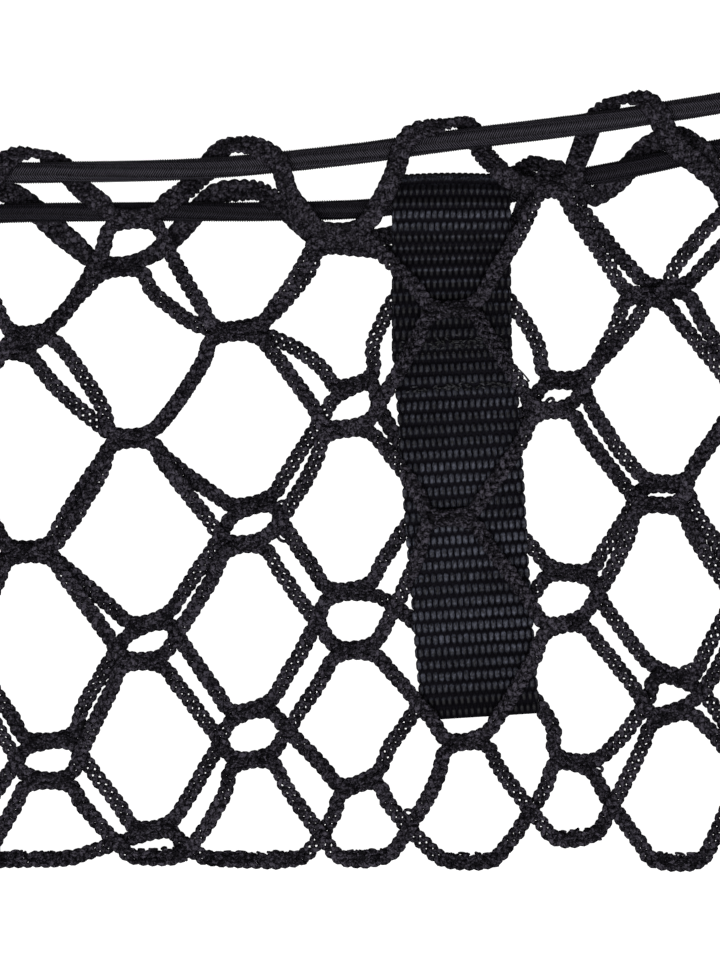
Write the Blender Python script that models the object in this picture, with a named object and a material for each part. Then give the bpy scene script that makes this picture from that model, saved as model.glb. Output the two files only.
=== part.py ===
# A length of pocket cargo net, lying flat: a front and a back layer of knitted
# netting, each threaded on its own elastic cord, and a webbing tab folded over
# the back cord, between the layers.
#
# The netting is knitted in strands that run from side to side in zigzags.
# Each strand lies against the next one along short level joints, so that the
# cells between them are long hexagons. The top strand of a layer has no strand
# above it: its peaks are loops round the elastic cord.
#
# Tables are in millimetres: x to the right, y up, z up from the surface.

import math
from collections import namedtuple

import bmesh
import bpy
from mathutils import Matrix, Vector

MM = 0.001

# Middle of the whole piece in the tables' x and y, which becomes the origin.
MIDDLE_X = -5.58
MIDDLE_Y = 3.31

STRAND_WIDTH = 3.2      # a knitted strand, between joints
JOINT_WIDTH = 3.0       # the same strand where it is knitted to the next one
STRAND_THICK = 2.2
HALF_JOINT = 1.15       # from the middle of a joint to each of its two strands
FLAT_SHARE = 0.6        # flat part of a strand's width, above and below
LEG_BENDS = (0.22, 0.78)  # where a leg is set off sideways by its bow

BACK_LEVEL = 1.1        # middle of the back layer, which lies on the surface
FRONT_LEVEL = 3.6       # middle of the front layer, on the back one

FRONT_CORD = 4.3        # diameters of the elastic cords
BACK_CORD = 3.9

TAB_THICK = 1.2
TAB_LEVEL = 3.2         # middle of the strap that lies on the back layer
TAB_GAP = 0.4           # between the tab and the cord in its fold
TURNED_GAP = 0.3        # between the strap and its turned end
TAB_FOLD_Y = 60.3       # middle of the tab's fold, which holds the back cord
TAB_FOLD_Z = 6.15

COLUMNS = range(-1, 8)
ROWS = "abcd"

# One row a joint: its column, its row letter, its middle, its length and how
# far it is turned, then how far the two legs to its right bow upwards.
Joint = namedtuple("Joint", "column row x y length turn bow_up bow_down")

FRONT_JOINTS = (
    Joint(-1, "a",  -89.4,  52.6,  9.2,   2.6,  0.0,  0.0),
    Joint(-1, "b",  -90.0,   8.3,  9.4,   0.0,  0.0,  0.0),
    Joint(-1, "c",  -87.7, -38.2,  9.8,   3.7,  0.0,  0.0),
    Joint(-1, "d",  -82.6, -78.4,  9.6,   2.5,  0.0,  0.0),
    Joint( 0, "a",  -68.6,  30.5,  8.3,   4.3, -1.2,  1.2),
    Joint( 0, "b",  -68.8, -15.1,  8.7,   1.4, -1.0,  0.2),
    Joint( 0, "c",  -64.9, -62.2,  9.2,   0.0,  0.0, -0.6),
    Joint( 1, "a",  -47.1,  54.1,  9.0,   2.7,  0.0, -0.2),
    Joint( 1, "b",  -47.6,   8.9,  7.9,   3.0, -1.0, -0.3),
    Joint( 1, "c",  -45.3, -37.5,  8.3,   1.4, -0.4,  0.2),
    Joint( 1, "d",  -42.2, -77.8, 10.4,   2.3, -1.2,  0.0),
    Joint( 2, "a",  -25.8,  31.1,  9.2,  -1.3, -0.6,  0.5),
    Joint( 2, "b",  -23.9, -13.2,  7.9,   4.5, -1.0, -0.2),
    Joint( 2, "c",  -22.5, -58.1,  8.4,   7.1, -0.2, -0.4),
    Joint( 3, "a",   -4.2,  51.4,  9.2,   2.6,  0.0,  0.4),
    Joint( 3, "b",   -2.8,  10.9,  9.0,   6.6, -0.2,  0.8),
    Joint( 3, "c",   -1.2, -35.2,  7.9,   3.0, -0.8,  0.4),
    Joint( 3, "d",    0.6, -78.1,  9.6,   1.2, -1.2,  0.0),
    Joint( 4, "a",   19.1,  35.6,  9.2,   2.6, -0.4,  0.0),
    Joint( 4, "b",   18.7,  -7.7,  9.2,   2.6, -0.4,  0.0),
    Joint( 4, "c",   22.0, -54.2,  8.0,   7.5, -0.6, -0.6),
    Joint( 5, "a",   39.3,  60.5,  4.4,   5.4,  0.0, -0.2),
    Joint( 5, "b",   40.1,  14.7,  7.9,   4.5, -0.6, -0.4),
    Joint( 5, "c",   42.4, -29.8,  8.0,  10.4, -0.8,  0.4),
    Joint( 5, "d",   45.0, -73.8,  8.2,   8.7, -0.4,  0.0),
    Joint( 6, "a",   59.3,  38.4,  7.9,  -4.5,  1.5,  0.2),
    Joint( 6, "b",   62.4,  -5.0,  9.2,   0.0,  1.5, -0.6),
    Joint( 6, "c",   64.7, -48.4,  8.2,  16.1, -1.5,  1.0),
    Joint( 7, "a",   82.2,  58.2,  8.3,   0.0,  0.0,  0.0),
    Joint( 7, "b",   83.6,  15.6,  8.3,   0.0,  0.0,  0.0),
    Joint( 7, "c",   82.8, -25.3,  8.3,   4.3,  0.0,  0.0),
    Joint( 7, "d",   84.2, -62.2,  8.7,   2.7,  0.0,  0.0),
)

BACK_JOINTS = (
    Joint(-1, "a",  -92.0,  45.3,  9.4,   0.0,  0.0,  0.0),
    Joint(-1, "b",  -90.5,   7.3,  9.6,   0.0,  0.0,  0.0),
    Joint(-1, "c",  -87.6, -33.1,  9.6,   2.5,  0.0,  0.0),
    Joint(-1, "d",  -86.3, -74.3,  9.6,   2.5,  0.0,  0.0),
    Joint( 0, "a",  -73.2,  27.0,  9.2,   0.0,  0.0, -0.8),
    Joint( 0, "b",  -69.3, -14.2,  8.7,   1.4,  0.2,  0.0),
    Joint( 0, "c",  -64.8, -54.2,  9.8,   6.1,  0.8,  0.0),
    Joint( 0, "d",  -68.8, -78.6, 17.1,   0.0,  0.0,  0.0),
    Joint( 1, "a",  -49.9,  44.6,  8.3,   4.3,  0.0, -1.6),
    Joint( 1, "b",  -47.6,   8.9,  7.9,   3.0, -1.0, -0.6),
    Joint( 1, "c",  -43.9, -29.7,  8.2,  14.7, -0.2,  0.0),
    Joint( 1, "d",  -43.1, -72.6,  8.0,   9.0, -0.4, -0.6),
    Joint( 2, "a",  -26.0,  31.2,  9.6,   7.4, -1.3,  1.4),
    Joint( 2, "b",  -22.4,  -5.2,  8.4,  14.4,  0.0, -0.2),
    Joint( 2, "c",  -22.9, -48.0,  8.6,  14.0, -0.4,  0.0),
    Joint( 2, "d",  -22.0, -78.6, 19.1,   0.0, -1.0,  0.0),
    Joint( 3, "a",   -3.8,  49.3,  9.8,   0.0,  0.0,  0.0),
    Joint( 3, "b",   -1.2,  20.0,  7.9,  18.4,  2.8, -1.5),
    Joint( 3, "c",   -2.3, -23.0,  8.8,   6.8,  0.4,  1.4),
    Joint( 3, "d",   -0.3, -63.2,  8.1,  18.0,  1.0, -1.0),
    Joint( 4, "a",   19.1,  45.3,  9.2,   0.0,  0.0,  2.1),
    Joint( 4, "b",   20.0,  -0.6,  9.2,   2.6,  0.0,  0.0),
    Joint( 4, "c",   23.3, -39.1,  9.2,   0.0,  0.6,  2.9),
    Joint( 4, "d",   22.6, -79.0,  9.8,   0.0, -1.0,  0.0),
    Joint( 5, "a",   39.1,  62.9,  8.4,  -7.1,  0.0, -1.0),
    Joint( 5, "b",   42.4,  21.0,  7.5,  -3.2, -0.8, -0.8),
    Joint( 5, "c",   43.8, -19.1,  9.0,  -5.3,  0.0, -0.8),
    Joint( 5, "d",   44.5, -58.7,  7.7, -12.5, -1.6, -0.4),
    Joint( 6, "a",   64.5,  39.9,  7.5,   3.2,  0.0,  0.0),
    Joint( 6, "b",   63.5,  -0.6,  8.5,  -2.8, -0.4, -0.6),
    Joint( 6, "c",   65.5, -40.8,  8.1, -11.9,  0.0,  1.0),
    Joint( 6, "d",   66.2, -79.0,  9.8,   0.0, -0.6,  0.0),
    Joint( 7, "a",   83.2,  53.7,  8.3,   0.0,  0.0,  0.0),
    Joint( 7, "b",   83.2,  19.1,  8.3,   0.0,  0.0,  0.0),
    Joint( 7, "c",   83.6, -20.2,  8.3,   2.9,  0.0,  0.0),
    Joint( 7, "d",   83.6, -58.4,  8.3,   2.9,  0.0,  0.0),
)

# Joints that lie over the back cord, higher than the rest of their layer.
FRONT_LIFTS = {(-1, "a"): 6.7, (1, "a"): 4.6, (3, "a"): 4.1, (5, "a"): 7.2, (7, "a"): 2.4}
BACK_LIFTS = {(5, "a"): 6.8}

# The top strand of a layer, bend by bend: where it is, how wide, and how far
# it is rolled. It goes over a cord, round its far side and back under it, or
# the other way round. Some loops wrap round the cord on edge, and others lie
# flat beside it and only tilt where they climb over it.
Bend = namedtuple("Bend", "x y z width roll")

FRONT_TOP = (
    Bend(-94.0, 53.6, 10.4, 3.0,    0), Bend(-84.9, 54.0, 11.1, 3.2,    0),
    Bend(-79.0, 58.7, 11.7, 4.2,    0), Bend(-74.8, 64.1, 10.9, 4.6,    0),
    Bend(-72.6, 66.8,  9.9, 4.6,  -35), Bend(-69.3, 68.0,  8.3, 4.6,  -65),
    Bend(-66.2, 67.9,  6.2, 4.6,  -95), Bend(-63.6, 66.6,  3.8, 4.6, -140),
    Bend(-60.7, 64.3,  2.6, 4.6, -180), Bend(-58.3, 61.3,  3.6, 4.6, -205),
    Bend(-55.8, 59.2,  7.1, 4.5, -205), Bend(-53.6, 57.5,  8.4, 4.2, -190),
    Bend(-51.6, 55.2,  8.4, 3.2, -180), Bend(-42.6, 55.6,  8.4, 3.2, -180),
    Bend(-39.4, 57.9,  8.4, 4.2, -190), Bend(-36.6, 60.0,  7.0, 4.5, -205),
    Bend(-34.4, 62.2,  3.8, 4.6, -205), Bend(-32.0, 64.9,  2.6, 4.6, -185),
    Bend(-29.4, 68.2,  3.0, 4.6, -195), Bend(-26.6, 69.7,  5.4, 4.6, -238),
    Bend(-23.3, 69.7,  8.4, 4.6, -225), Bend(-19.6, 68.3, 10.4, 4.6, -205),
    Bend(-17.0, 66.1, 10.8, 4.2, -185), Bend(-14.4, 59.3, 11.3, 3.6, -180),
    Bend(-11.3, 55.4, 11.0, 3.6, -180), Bend( -8.7, 52.3,  9.2, 3.4, -180),
    Bend(  0.4, 52.7,  8.7, 3.6, -180), Bend(  4.0, 57.4, 10.9, 4.0, -180),
    Bend(  6.8, 62.7, 11.3, 4.0, -180), Bend(  8.7, 68.9, 11.2, 4.2, -180),
    Bend( 11.2, 72.1, 10.7, 4.6, -210), Bend( 15.8, 73.4,  9.8, 4.6, -230),
    Bend( 19.8, 74.6,  7.4, 4.6, -270), Bend( 22.5, 73.9,  4.2, 4.6, -308),
    Bend( 24.1, 71.2,  2.9, 4.6, -360), Bend( 25.7, 68.1,  4.3, 4.5, -380),
    Bend( 27.4, 65.9,  7.4, 4.4, -390), Bend( 29.0, 64.1, 10.9, 4.2, -375),
    Bend( 31.4, 62.1, 11.3, 4.0, -360), Bend( 34.7, 61.2, 10.6, 3.6, -360),
    Bend( 43.7, 62.1, 10.5, 3.6, -360), Bend( 44.8, 66.0,  9.2, 4.0, -360),
    Bend( 46.6, 70.2,  4.4, 4.3, -360), Bend( 48.3, 74.3,  2.6, 4.6, -360),
    Bend( 51.2, 77.8,  3.9, 4.6, -315), Bend( 54.4, 79.3,  6.8, 4.6, -270),
    Bend( 57.4, 79.3,  9.3, 4.6, -235), Bend( 59.6, 78.4, 10.3, 4.6, -205),
    Bend( 61.4, 76.3, 10.5, 4.6, -180), Bend( 64.1, 70.7, 10.9, 4.6, -180),
    Bend( 70.3, 64.9, 11.3, 4.4, -180), Bend( 78.0, 59.4,  7.2, 3.4, -180),
    Bend( 86.3, 59.4,  5.6, 3.0, -180),
)

BACK_TOP = (
    Bend(-96.7, 46.5,  1.1, 3.0,    0), Bend(-87.4, 46.5,  1.6, 3.2,    0),
    Bend(-85.0, 50.6,  6.6, 4.0,   15), Bend(-82.2, 55.3,  8.7, 4.4,    0),
    Bend(-79.4, 58.4,  8.0, 4.6,  -30), Bend(-76.4, 60.1,  5.5, 4.6,  -35),
    Bend(-73.2, 60.1,  2.8, 4.6,  -15), Bend(-70.2, 58.6,  1.3, 4.6,    0),
    Bend(-67.4, 56.2,  1.1, 4.6,    0), Bend(-60.3, 49.9,  1.1, 4.6,    0),
    Bend(-54.1, 45.4,  1.1, 3.4,    0), Bend(-45.8, 46.1,  1.1, 3.2,    0),
    Bend(-39.5, 50.3,  1.1, 4.2,    0), Bend(-33.3, 57.0,  1.1, 4.5,    0),
    Bend(-29.9, 59.8,  1.3, 4.6,    0), Bend(-25.0, 60.6,  2.6, 4.6,  -15),
    Bend(-21.0, 60.2,  5.8, 4.6,  -35), Bend(-18.0, 58.4,  8.0, 4.6,  -30),
    Bend(-15.0, 56.2,  8.7, 4.6,  -10), Bend(-11.9, 53.0,  7.7, 4.2,    0),
    Bend( -8.7, 50.4,  3.8, 3.4,    0), Bend(  1.0, 50.4,  1.6, 3.4,    0),
    Bend(  8.3, 51.8,  1.1, 3.6,    0), Bend( 18.7, 55.3,  1.1, 3.6,    0),
    Bend( 27.0, 59.0,  1.1, 3.8,    0), Bend( 31.9, 62.8,  1.1, 4.2,    0),
    Bend( 34.7, 65.3,  2.2, 4.4,   40), Bend( 37.0, 66.4,  4.6, 4.4,   68),
    Bend( 39.3, 65.6,  6.8, 4.2,  118), Bend( 42.2, 63.7,  7.3, 3.6,  180),
    Bend( 45.0, 61.3,  7.3, 3.6,  190), Bend( 46.9, 59.7,  5.4, 3.8,  205),
    Bend( 48.8, 59.2,  2.8, 4.0,  190), Bend( 53.0, 61.9,  1.1, 4.4,  180),
    Bend( 56.8, 66.2,  1.1, 4.6,  180), Bend( 59.8, 69.4,  1.3, 4.6,  180),
    Bend( 63.4, 71.2,  2.6, 4.6,  165), Bend( 66.6, 71.5,  5.8, 4.6,  145),
    Bend( 69.0, 70.1,  8.1, 4.6,  148), Bend( 71.2, 67.9,  8.9, 4.6,  170),
    Bend( 74.0, 62.8,  6.2, 4.4,  180), Bend( 79.0, 54.8,  1.4, 3.2,  180),
    Bend( 87.4, 54.8,  1.1, 3.0,  180),
)

# Legs that don't rise evenly: the strand and the column on their left, and the
# bends between their two joints.
BACK_LEGS = {
    (1, 4): (
        Bend(27.0, 48.4, 1.1, 3.2, 0), Bend(30.2, 51.2, 1.1, 3.2, 0),
        Bend(32.4, 53.7, 1.5, 3.2, 0), Bend(33.4, 56.0, 5.0, 3.2, 0),
        Bend(34.2, 58.2, 8.2, 3.2, 0),
    ),
}

# Elastic cords: the middle of each, from its left end to its right one. The
# ends come down to the surface in a stopper knot.
Station = namedtuple("Station", "x y z")

FRONT_CORD_ROUTE = (
    Station(-112.0, 72.0, 2.6), Station(-102.0, 69.4, 4.6), Station(-92.0, 66.0, 5.9),
    Station(-75.0, 64.1, 6.65), Station(-60.3, 64.1, 6.65), Station(-31.8, 64.9, 6.65),
    Station(0.0, 68.0, 6.75), Station(10.0, 69.4, 7.0), Station(22.9, 71.1, 7.4),
    Station(35.4, 72.6, 7.2), Station(48.3, 74.3, 6.65), Station(61.4, 76.3, 6.65),
    Station(76.0, 78.7, 6.1), Station(90.0, 81.9, 4.8), Station(100.0, 84.6, 2.6),
)
BACK_CORD_ROUTE = (
    Station(-110.0, 50.6, 2.4), Station(-102.0, 52.4, 3.9), Station(-92.0, 54.6, 4.6),
    Station(-75.0, 55.6, 4.6), Station(-45.0, 56.0, 4.6), Station(-20.0, 56.0, 4.6),
    Station(-3.0, 56.4, 4.6), Station(3.0, 56.7, 5.8), Station(7.0, 57.2, 6.05),
    Station(19.0, 58.5, 6.08), Station(31.3, 59.8, 6.0), Station(33.7, 60.6, 4.4),
    Station(36.4, 61.3, 3.5), Station(43.0, 62.7, 3.6), Station(49.5, 63.7, 4.6),
    Station(62.6, 66.4, 4.6), Station(75.0, 69.1, 4.6), Station(90.0, 69.6, 3.9),
    Station(101.0, 67.4, 2.4),
)

# Stopper knots, by the x of their middle on each cord's route.
KNOT_SIZE = (12.5, 11.0, 8.6)
KNOT_TAIL = 9.5

# The tab's strap: how far right its middle is, and its width, down its length.
Edge = namedtuple("Edge", "y x width")
STRAP_EDGES = (
    Edge(63.8, 19.1, 23.4), Edge(55.0, 18.95, 24.2), Edge(27.0, 19.1, 24.6),
    Edge(17.0, 20.3, 25.1), Edge(0.0, 21.4, 25.1), Edge(-17.0, 22.6, 24.7),
    Edge(-36.0, 24.0, 24.5), Edge(-50.0, 25.2, 24.4),
)

# The fold is slack: below the cord the turned part stands up in a bulge, so
# far above where it lies once it is flat.
Bulge = namedtuple("Bulge", "y z")
TAB_BULGE = (
    Bulge(60.6, 4.6), Bulge(57.6, 5.3), Bulge(54.5, 5.5), Bulge(51.5, 4.9),
    Bulge(48.5, 3.5), Bulge(45.5, 1.7), Bulge(42.0, 0.4), Bulge(38.0, 0.0),
)
STRAP_END_Y = -49.4     # lower end, between the layers
TURNED_END_Y = 26.6     # end of the part that is turned over the cord and sewn down


def wipe():
    for obj in list(bpy.data.objects):
        bpy.data.objects.remove(obj, do_unlink=True)


def smoothstep(value, low, high):
    t = min(1.0, max(0.0, (value - low) / (high - low)))
    return t * t * (3 - 2 * t)


def between(table, y, field):
    """A field of a table of Edge rows at this y, from the rows above and below it."""
    rows = sorted(table, key=lambda row: row.y)
    if y <= rows[0].y:
        return getattr(rows[0], field)
    for low, high in zip(rows, rows[1:]):
        if y <= high.y:
            t = (y - low.y) / (high.y - low.y)
            return getattr(low, field) * (1 - t) + getattr(high, field) * t
    return getattr(rows[-1], field)


def rise_over_tab(x, y):
    """How much higher the front layer lies where it passes over the tab."""
    middle, width = between(STRAP_EDGES, y, "x"), between(STRAP_EDGES, y, "width")
    outside = abs(x - middle) - width / 2
    across = 1 - smoothstep(outside, 2.6, 10.0)
    strap = 1.8 * smoothstep(y, -59.0, -52.0)
    turned = 1.65 * smoothstep(y, 15.0, 24.0)
    return across * (strap + turned)


def ends_of(joint):
    turn = math.radians(joint.turn)
    half = Vector((math.cos(turn), math.sin(turn), 0)) * joint.length / 2
    middle = Vector((joint.x, joint.y, 0))
    return middle - half, middle + half


def joint_of_strand(joints, strand, column):
    """The joint that a strand passes in a column, and whether it is its upper half."""
    odd = column % 2
    upper = strand % 2 != odd if odd else strand % 2 == 1
    index = strand // 2
    if strand % 2 == 0 and not odd:
        index -= 1
    return joints[(column, ROWS[index])], upper


def strand_bends(joints, strand, lifts, legs, level, over_tab, last):
    """A strand below the top one: two bends at each joint and two on each leg."""
    bends = []
    before = None
    for column in COLUMNS:
        joint, upper = joint_of_strand(joints, strand, column)
        left, right = ends_of(joint)
        offset = 0 if last and upper else HALF_JOINT * (1 if upper else -1)
        lift = lifts.get((joint.column, joint.row), 0)
        left.y += offset
        right.y += offset
        width = STRAND_WIDTH if last and upper else JOINT_WIDTH
        if before and (strand, column - 1) in legs:
            bends += [list(bend) for bend in legs[strand, column - 1]]
        elif before:
            start, bow, start_lift = before
            leg = left - start
            across = Vector((-leg.y, leg.x, 0)).normalized()
            for share in LEG_BENDS:
                p = start + leg * share + across * bow
                raised = start_lift + (lift - start_lift) * smoothstep(share, 0, 1)
                bends.append([p.x, p.y, level + raised, STRAND_WIDTH, 0])
        for p in (left, right):
            bends.append([p.x, p.y, level + lift, width, 0])
        before = right, joint.bow_up if upper else joint.bow_down, lift
    if over_tab:
        for bend in bends:
            bend[2] += rise_over_tab(bend[0], bend[1])
    return [Bend(*bend) for bend in bends]


def smooth(rows, longest):
    """Points of a centripetal curve through the rows, no further apart than longest."""
    rows = [tuple(row) for row in rows]
    first = tuple(2 * a - b for a, b in zip(rows[0], rows[1]))
    last = tuple(2 * a - b for a, b in zip(rows[-1], rows[-2]))
    rows = [first, *rows, last]

    def mix(a, b, ta, tb, t):
        return tuple(((tb - t) * u + (t - ta) * v) / (tb - ta) for u, v in zip(a, b))

    out = []
    for i in range(1, len(rows) - 2):
        p = rows[i - 1 : i + 3]
        times = [0.0]
        for a, b in zip(p, p[1:]):
            times.append(times[-1] + max(1e-6, math.dist(a[:3], b[:3])) ** 0.5)
        steps = max(1, math.ceil(math.dist(p[1][:3], p[2][:3]) / longest - 0.25))
        for k in range(steps):
            t = times[1] + (times[2] - times[1]) * k / steps
            a = mix(p[0], p[1], times[0], times[1], t)
            b = mix(p[1], p[2], times[1], times[2], t)
            c = mix(p[2], p[3], times[2], times[3], t)
            d = mix(a, b, times[0], times[2], t)
            e = mix(b, c, times[1], times[3], t)
            out.append(mix(d, e, times[1], times[2], t))
    out.append(rows[-2])
    return out


def in_row(x, y, z):
    return Vector(((x - MIDDLE_X) * MM, (y - MIDDLE_Y) * MM, z * MM))


def loft(name, rings):
    """A closed body through rings of equal count, with flat ends."""
    mesh = bmesh.new()
    made = [[mesh.verts.new(p) for p in ring] for ring in rings]
    count = len(made[0])
    for a, b in zip(made, made[1:]):
        for i in range(count):
            j = (i + 1) % count
            mesh.faces.new((a[i], a[j], b[j], b[i]))
    mesh.faces.new(list(reversed(made[0])))
    mesh.faces.new(made[-1])
    bmesh.ops.recalc_face_normals(mesh, faces=mesh.faces)
    data = bpy.data.meshes.new(name)
    mesh.to_mesh(data)
    mesh.free()
    return bpy.data.objects.new(name, data)


def strand_solid(name, bends, thick, longest):
    """A strand's body: a flattened six-sided section along its bends."""
    points = smooth(bends, longest)
    rings = []
    for i, (x, y, z, width, roll) in enumerate(points):
        a = Vector(points[max(0, i - 1)][:3])
        b = Vector(points[min(len(points) - 1, i + 1)][:3])
        along = (b - a).normalized()
        side = Vector((0, 0, 1)).cross(along).normalized()
        up = along.cross(side)
        turned = Matrix.Rotation(math.radians(roll), 3, along)
        side, up = turned @ side, turned @ up
        half, flat, tall = width / 2, width * FLAT_SHARE / 2, thick / 2
        ring = []
        for s, u in ((half, 0), (flat, tall), (-flat, tall), (-half, 0), (-flat, -tall), (flat, -tall)):
            ring.append(Vector((x, y, z)) + side * s + up * u)
        sunk = min(0.0, min(p.z for p in ring))
        rings.append([in_row(p.x, p.y, p.z - sunk) for p in ring])
    return loft(name, rings)


def net_layer(name, joints, top, lifts, legs, level, over_tab, strands):
    """One layer: its strands, joined where they lie against each other."""
    table = {(joint.column, joint.row): joint for joint in joints}
    bodies = [strand_solid(name, top, STRAND_THICK, 4.6)]
    for strand in range(1, strands):
        # Every other strand is a hair thinner and lower, so that no two share a plane.
        odd = strand % 2
        thick = STRAND_THICK - 0.12 * odd
        last = strand == strands - 1
        bends = strand_bends(table, strand, lifts, legs, level - 0.04 * odd, over_tab, last)
        bodies.append(strand_solid(f"{name}_strand_{strand}", bends, thick, 14.0))
    layer = bodies[0]
    for body in bodies[1:]:
        helpers.objects.link(body)
        body.hide_render = True
        body.display_type = "WIRE"
        union = layer.modifiers.new(body.name, "BOOLEAN")
        union.operation = "UNION"
        union.solver = "EXACT"
        union.object = body
    parts.objects.link(layer)
    return layer


def welded(curve_object, name):
    """The curve's body as a mesh, its caps joined to its sides."""
    helpers.objects.link(curve_object)
    bpy.context.view_layer.update()
    data = bpy.data.meshes.new_from_object(
        curve_object.evaluated_get(bpy.context.evaluated_depsgraph_get())
    )
    body = bmesh.new()
    body.from_mesh(data)
    bmesh.ops.remove_doubles(body, verts=body.verts, dist=0.00002)
    bmesh.ops.recalc_face_normals(body, faces=body.faces)
    body.to_mesh(data)
    body.free()
    made = bpy.data.objects.new(name, data)
    made.matrix_world = curve_object.matrix_world
    bpy.data.objects.remove(curve_object, do_unlink=True)
    return made


def elastic_cord(name, route, diameter):
    """A cord along its route, with the lump of a stopper knot near each end."""
    points = smooth(route, 9.0)
    curve = bpy.data.curves.new(name, "CURVE")
    curve.dimensions = "3D"
    curve.bevel_depth = diameter / 2 * MM
    curve.bevel_resolution = 2
    curve.use_fill_caps = True
    spline = curve.splines.new("POLY")
    spline.points.add(len(points) - 1)
    for point, (x, y, z) in zip(spline.points, points):
        point.co = (*in_row(x, y, z), 1)
    cord = welded(bpy.data.objects.new(name + "_line", curve), name)
    parts.objects.link(cord)
    for end, (a, b) in (("left", route[:2]), ("right", route[:-3:-1])):
        start, inner = Vector(a), Vector(b)
        along = (inner - start).normalized()
        middle = start + along * KNOT_TAIL
        size = Vector(KNOT_SIZE)
        ball = bmesh.new()
        bmesh.ops.create_icosphere(ball, subdivisions=2, radius=0.5)
        bmesh.ops.scale(ball, verts=ball.verts, vec=size * MM)
        data = bpy.data.meshes.new(f"{name}_knot_{end}")
        ball.to_mesh(data)
        ball.free()
        lump = bpy.data.objects.new(data.name, data)
        lump.rotation_euler = (0, 0, math.atan2(along.y, along.x))
        lump.location = in_row(middle.x, middle.y, size.z / 2)
        lump.hide_render = True
        lump.display_type = "WIRE"
        helpers.objects.link(lump)
        union = cord.modifiers.new(lump.name, "BOOLEAN")
        union.operation = "UNION"
        union.solver = "EXACT"
        union.object = lump
    return cord


def webbing_tab(name):
    """The strap's side view, from its lower end up, under and round the cord,
    and back down to its turned end, then carried across its width."""
    radius = BACK_CORD / 2 + TAB_GAP + TAB_THICK / 2
    upper = TAB_LEVEL + TAB_THICK + TURNED_GAP
    side = [(y, TAB_LEVEL) for y in (STRAP_END_Y, -34.0, -17.0, 0.0, 17.0, 30.0)]
    for step in range(7):
        angle = math.pi * step / 8
        side.append(
            (
                TAB_FOLD_Y + radius * math.sin(angle),
                TAB_FOLD_Z - radius * math.cos(angle),
            )
        )
    side += [(row.y, upper + row.z) for row in TAB_BULGE]
    side += [(32.0, upper), (TURNED_END_Y, upper)]
    rings = []
    for i, (y, z) in enumerate(side):
        a, b = side[max(0, i - 1)], side[min(len(side) - 1, i + 1)]
        along = Vector((0, b[0] - a[0], b[1] - a[1])).normalized()
        up = Vector((0, -along.z, along.y)) * TAB_THICK / 2
        middle = between(STRAP_EDGES, y, "x")
        half = Vector((between(STRAP_EDGES, y, "width") / 2, 0, 0))
        centre = Vector((middle, y, z))
        rings.append(
            [
                in_row(*p)
                for p in (centre + half + up, centre - half + up, centre - half - up, centre + half - up)
            ]
        )
    tab = loft(name, rings)
    parts.objects.link(tab)
    return tab


def finish(obj, name, colour, roughness):
    material = bpy.data.materials.new(name)
    material.use_nodes = True
    shader = material.node_tree.nodes["Principled BSDF"]
    shader.inputs["Base Color"].default_value = (*colour, 1)
    shader.inputs["Roughness"].default_value = roughness
    shader.inputs["Metallic"].default_value = 0.0
    obj.data.materials.clear()
    obj.data.materials.append(material)


wipe()
parts = bpy.data.collections.new("cargo_net")
helpers = bpy.data.collections.new("helpers")
bpy.context.scene.collection.children.link(parts)
bpy.context.scene.collection.children.link(helpers)

net_front = net_layer(
    "net_front", FRONT_JOINTS, FRONT_TOP, FRONT_LIFTS, {}, FRONT_LEVEL, True, 7
)
net_back = net_layer(
    "net_back", BACK_JOINTS, BACK_TOP, BACK_LIFTS, BACK_LEGS, BACK_LEVEL, False, 8
)
elastic_front = elastic_cord("elastic_front", FRONT_CORD_ROUTE, FRONT_CORD)
elastic_back = elastic_cord("elastic_back", BACK_CORD_ROUTE, BACK_CORD)
tab = webbing_tab("webbing_tab")

finish(net_front, "net front yarn", (0.012, 0.011, 0.015), 0.8)
finish(net_back, "net back yarn", (0.010, 0.009, 0.013), 0.8)
finish(elastic_front, "elastic front braid", (0.014, 0.013, 0.017), 0.65)
finish(elastic_back, "elastic back braid", (0.013, 0.012, 0.016), 0.65)
finish(tab, "webbing", (0.035, 0.042, 0.055), 0.6)
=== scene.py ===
# The look of a length of pocket cargo net: two layers of knitted netting, two
# braided elastic cords and a woven webbing tab. Every strand, cord and warp
# yarn is built along the same tables as the CAD solids that it stands for.

import math
from collections import namedtuple

import bpy
import numpy as np
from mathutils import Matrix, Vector


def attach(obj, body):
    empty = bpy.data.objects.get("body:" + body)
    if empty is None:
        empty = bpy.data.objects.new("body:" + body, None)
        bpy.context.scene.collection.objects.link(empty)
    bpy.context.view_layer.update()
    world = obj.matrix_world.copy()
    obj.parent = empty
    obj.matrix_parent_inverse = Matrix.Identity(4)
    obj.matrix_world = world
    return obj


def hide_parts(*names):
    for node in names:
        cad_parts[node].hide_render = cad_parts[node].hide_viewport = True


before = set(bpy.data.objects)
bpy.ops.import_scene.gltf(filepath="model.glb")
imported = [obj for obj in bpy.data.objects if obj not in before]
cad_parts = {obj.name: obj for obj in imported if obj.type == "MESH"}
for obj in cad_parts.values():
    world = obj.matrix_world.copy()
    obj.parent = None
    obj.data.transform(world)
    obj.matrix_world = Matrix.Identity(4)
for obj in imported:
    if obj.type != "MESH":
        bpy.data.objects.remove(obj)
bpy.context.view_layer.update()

MM = 0.001
MIDDLE_X = -5.58
MIDDLE_Y = 3.31

STRAND_WIDTH = 3.2      # a knitted strand, between joints
JOINT_WIDTH = 3.0       # the same strand where it is knitted to the next one
STRAND_THICK = 2.2
HALF_JOINT = 1.15       # from the middle of a joint to each of its two strands
FLAT_SHARE = 0.6        # flat part of a strand's width, above and below
LEG_BENDS = (0.22, 0.78)  # where a leg is set off sideways by its bow

BACK_LEVEL = 1.1        # middle of the back layer, which lies on the surface
FRONT_LEVEL = 3.6       # middle of the front layer, on the back one

FRONT_CORD = 4.3        # diameters of the elastic cords
BACK_CORD = 3.9

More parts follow.
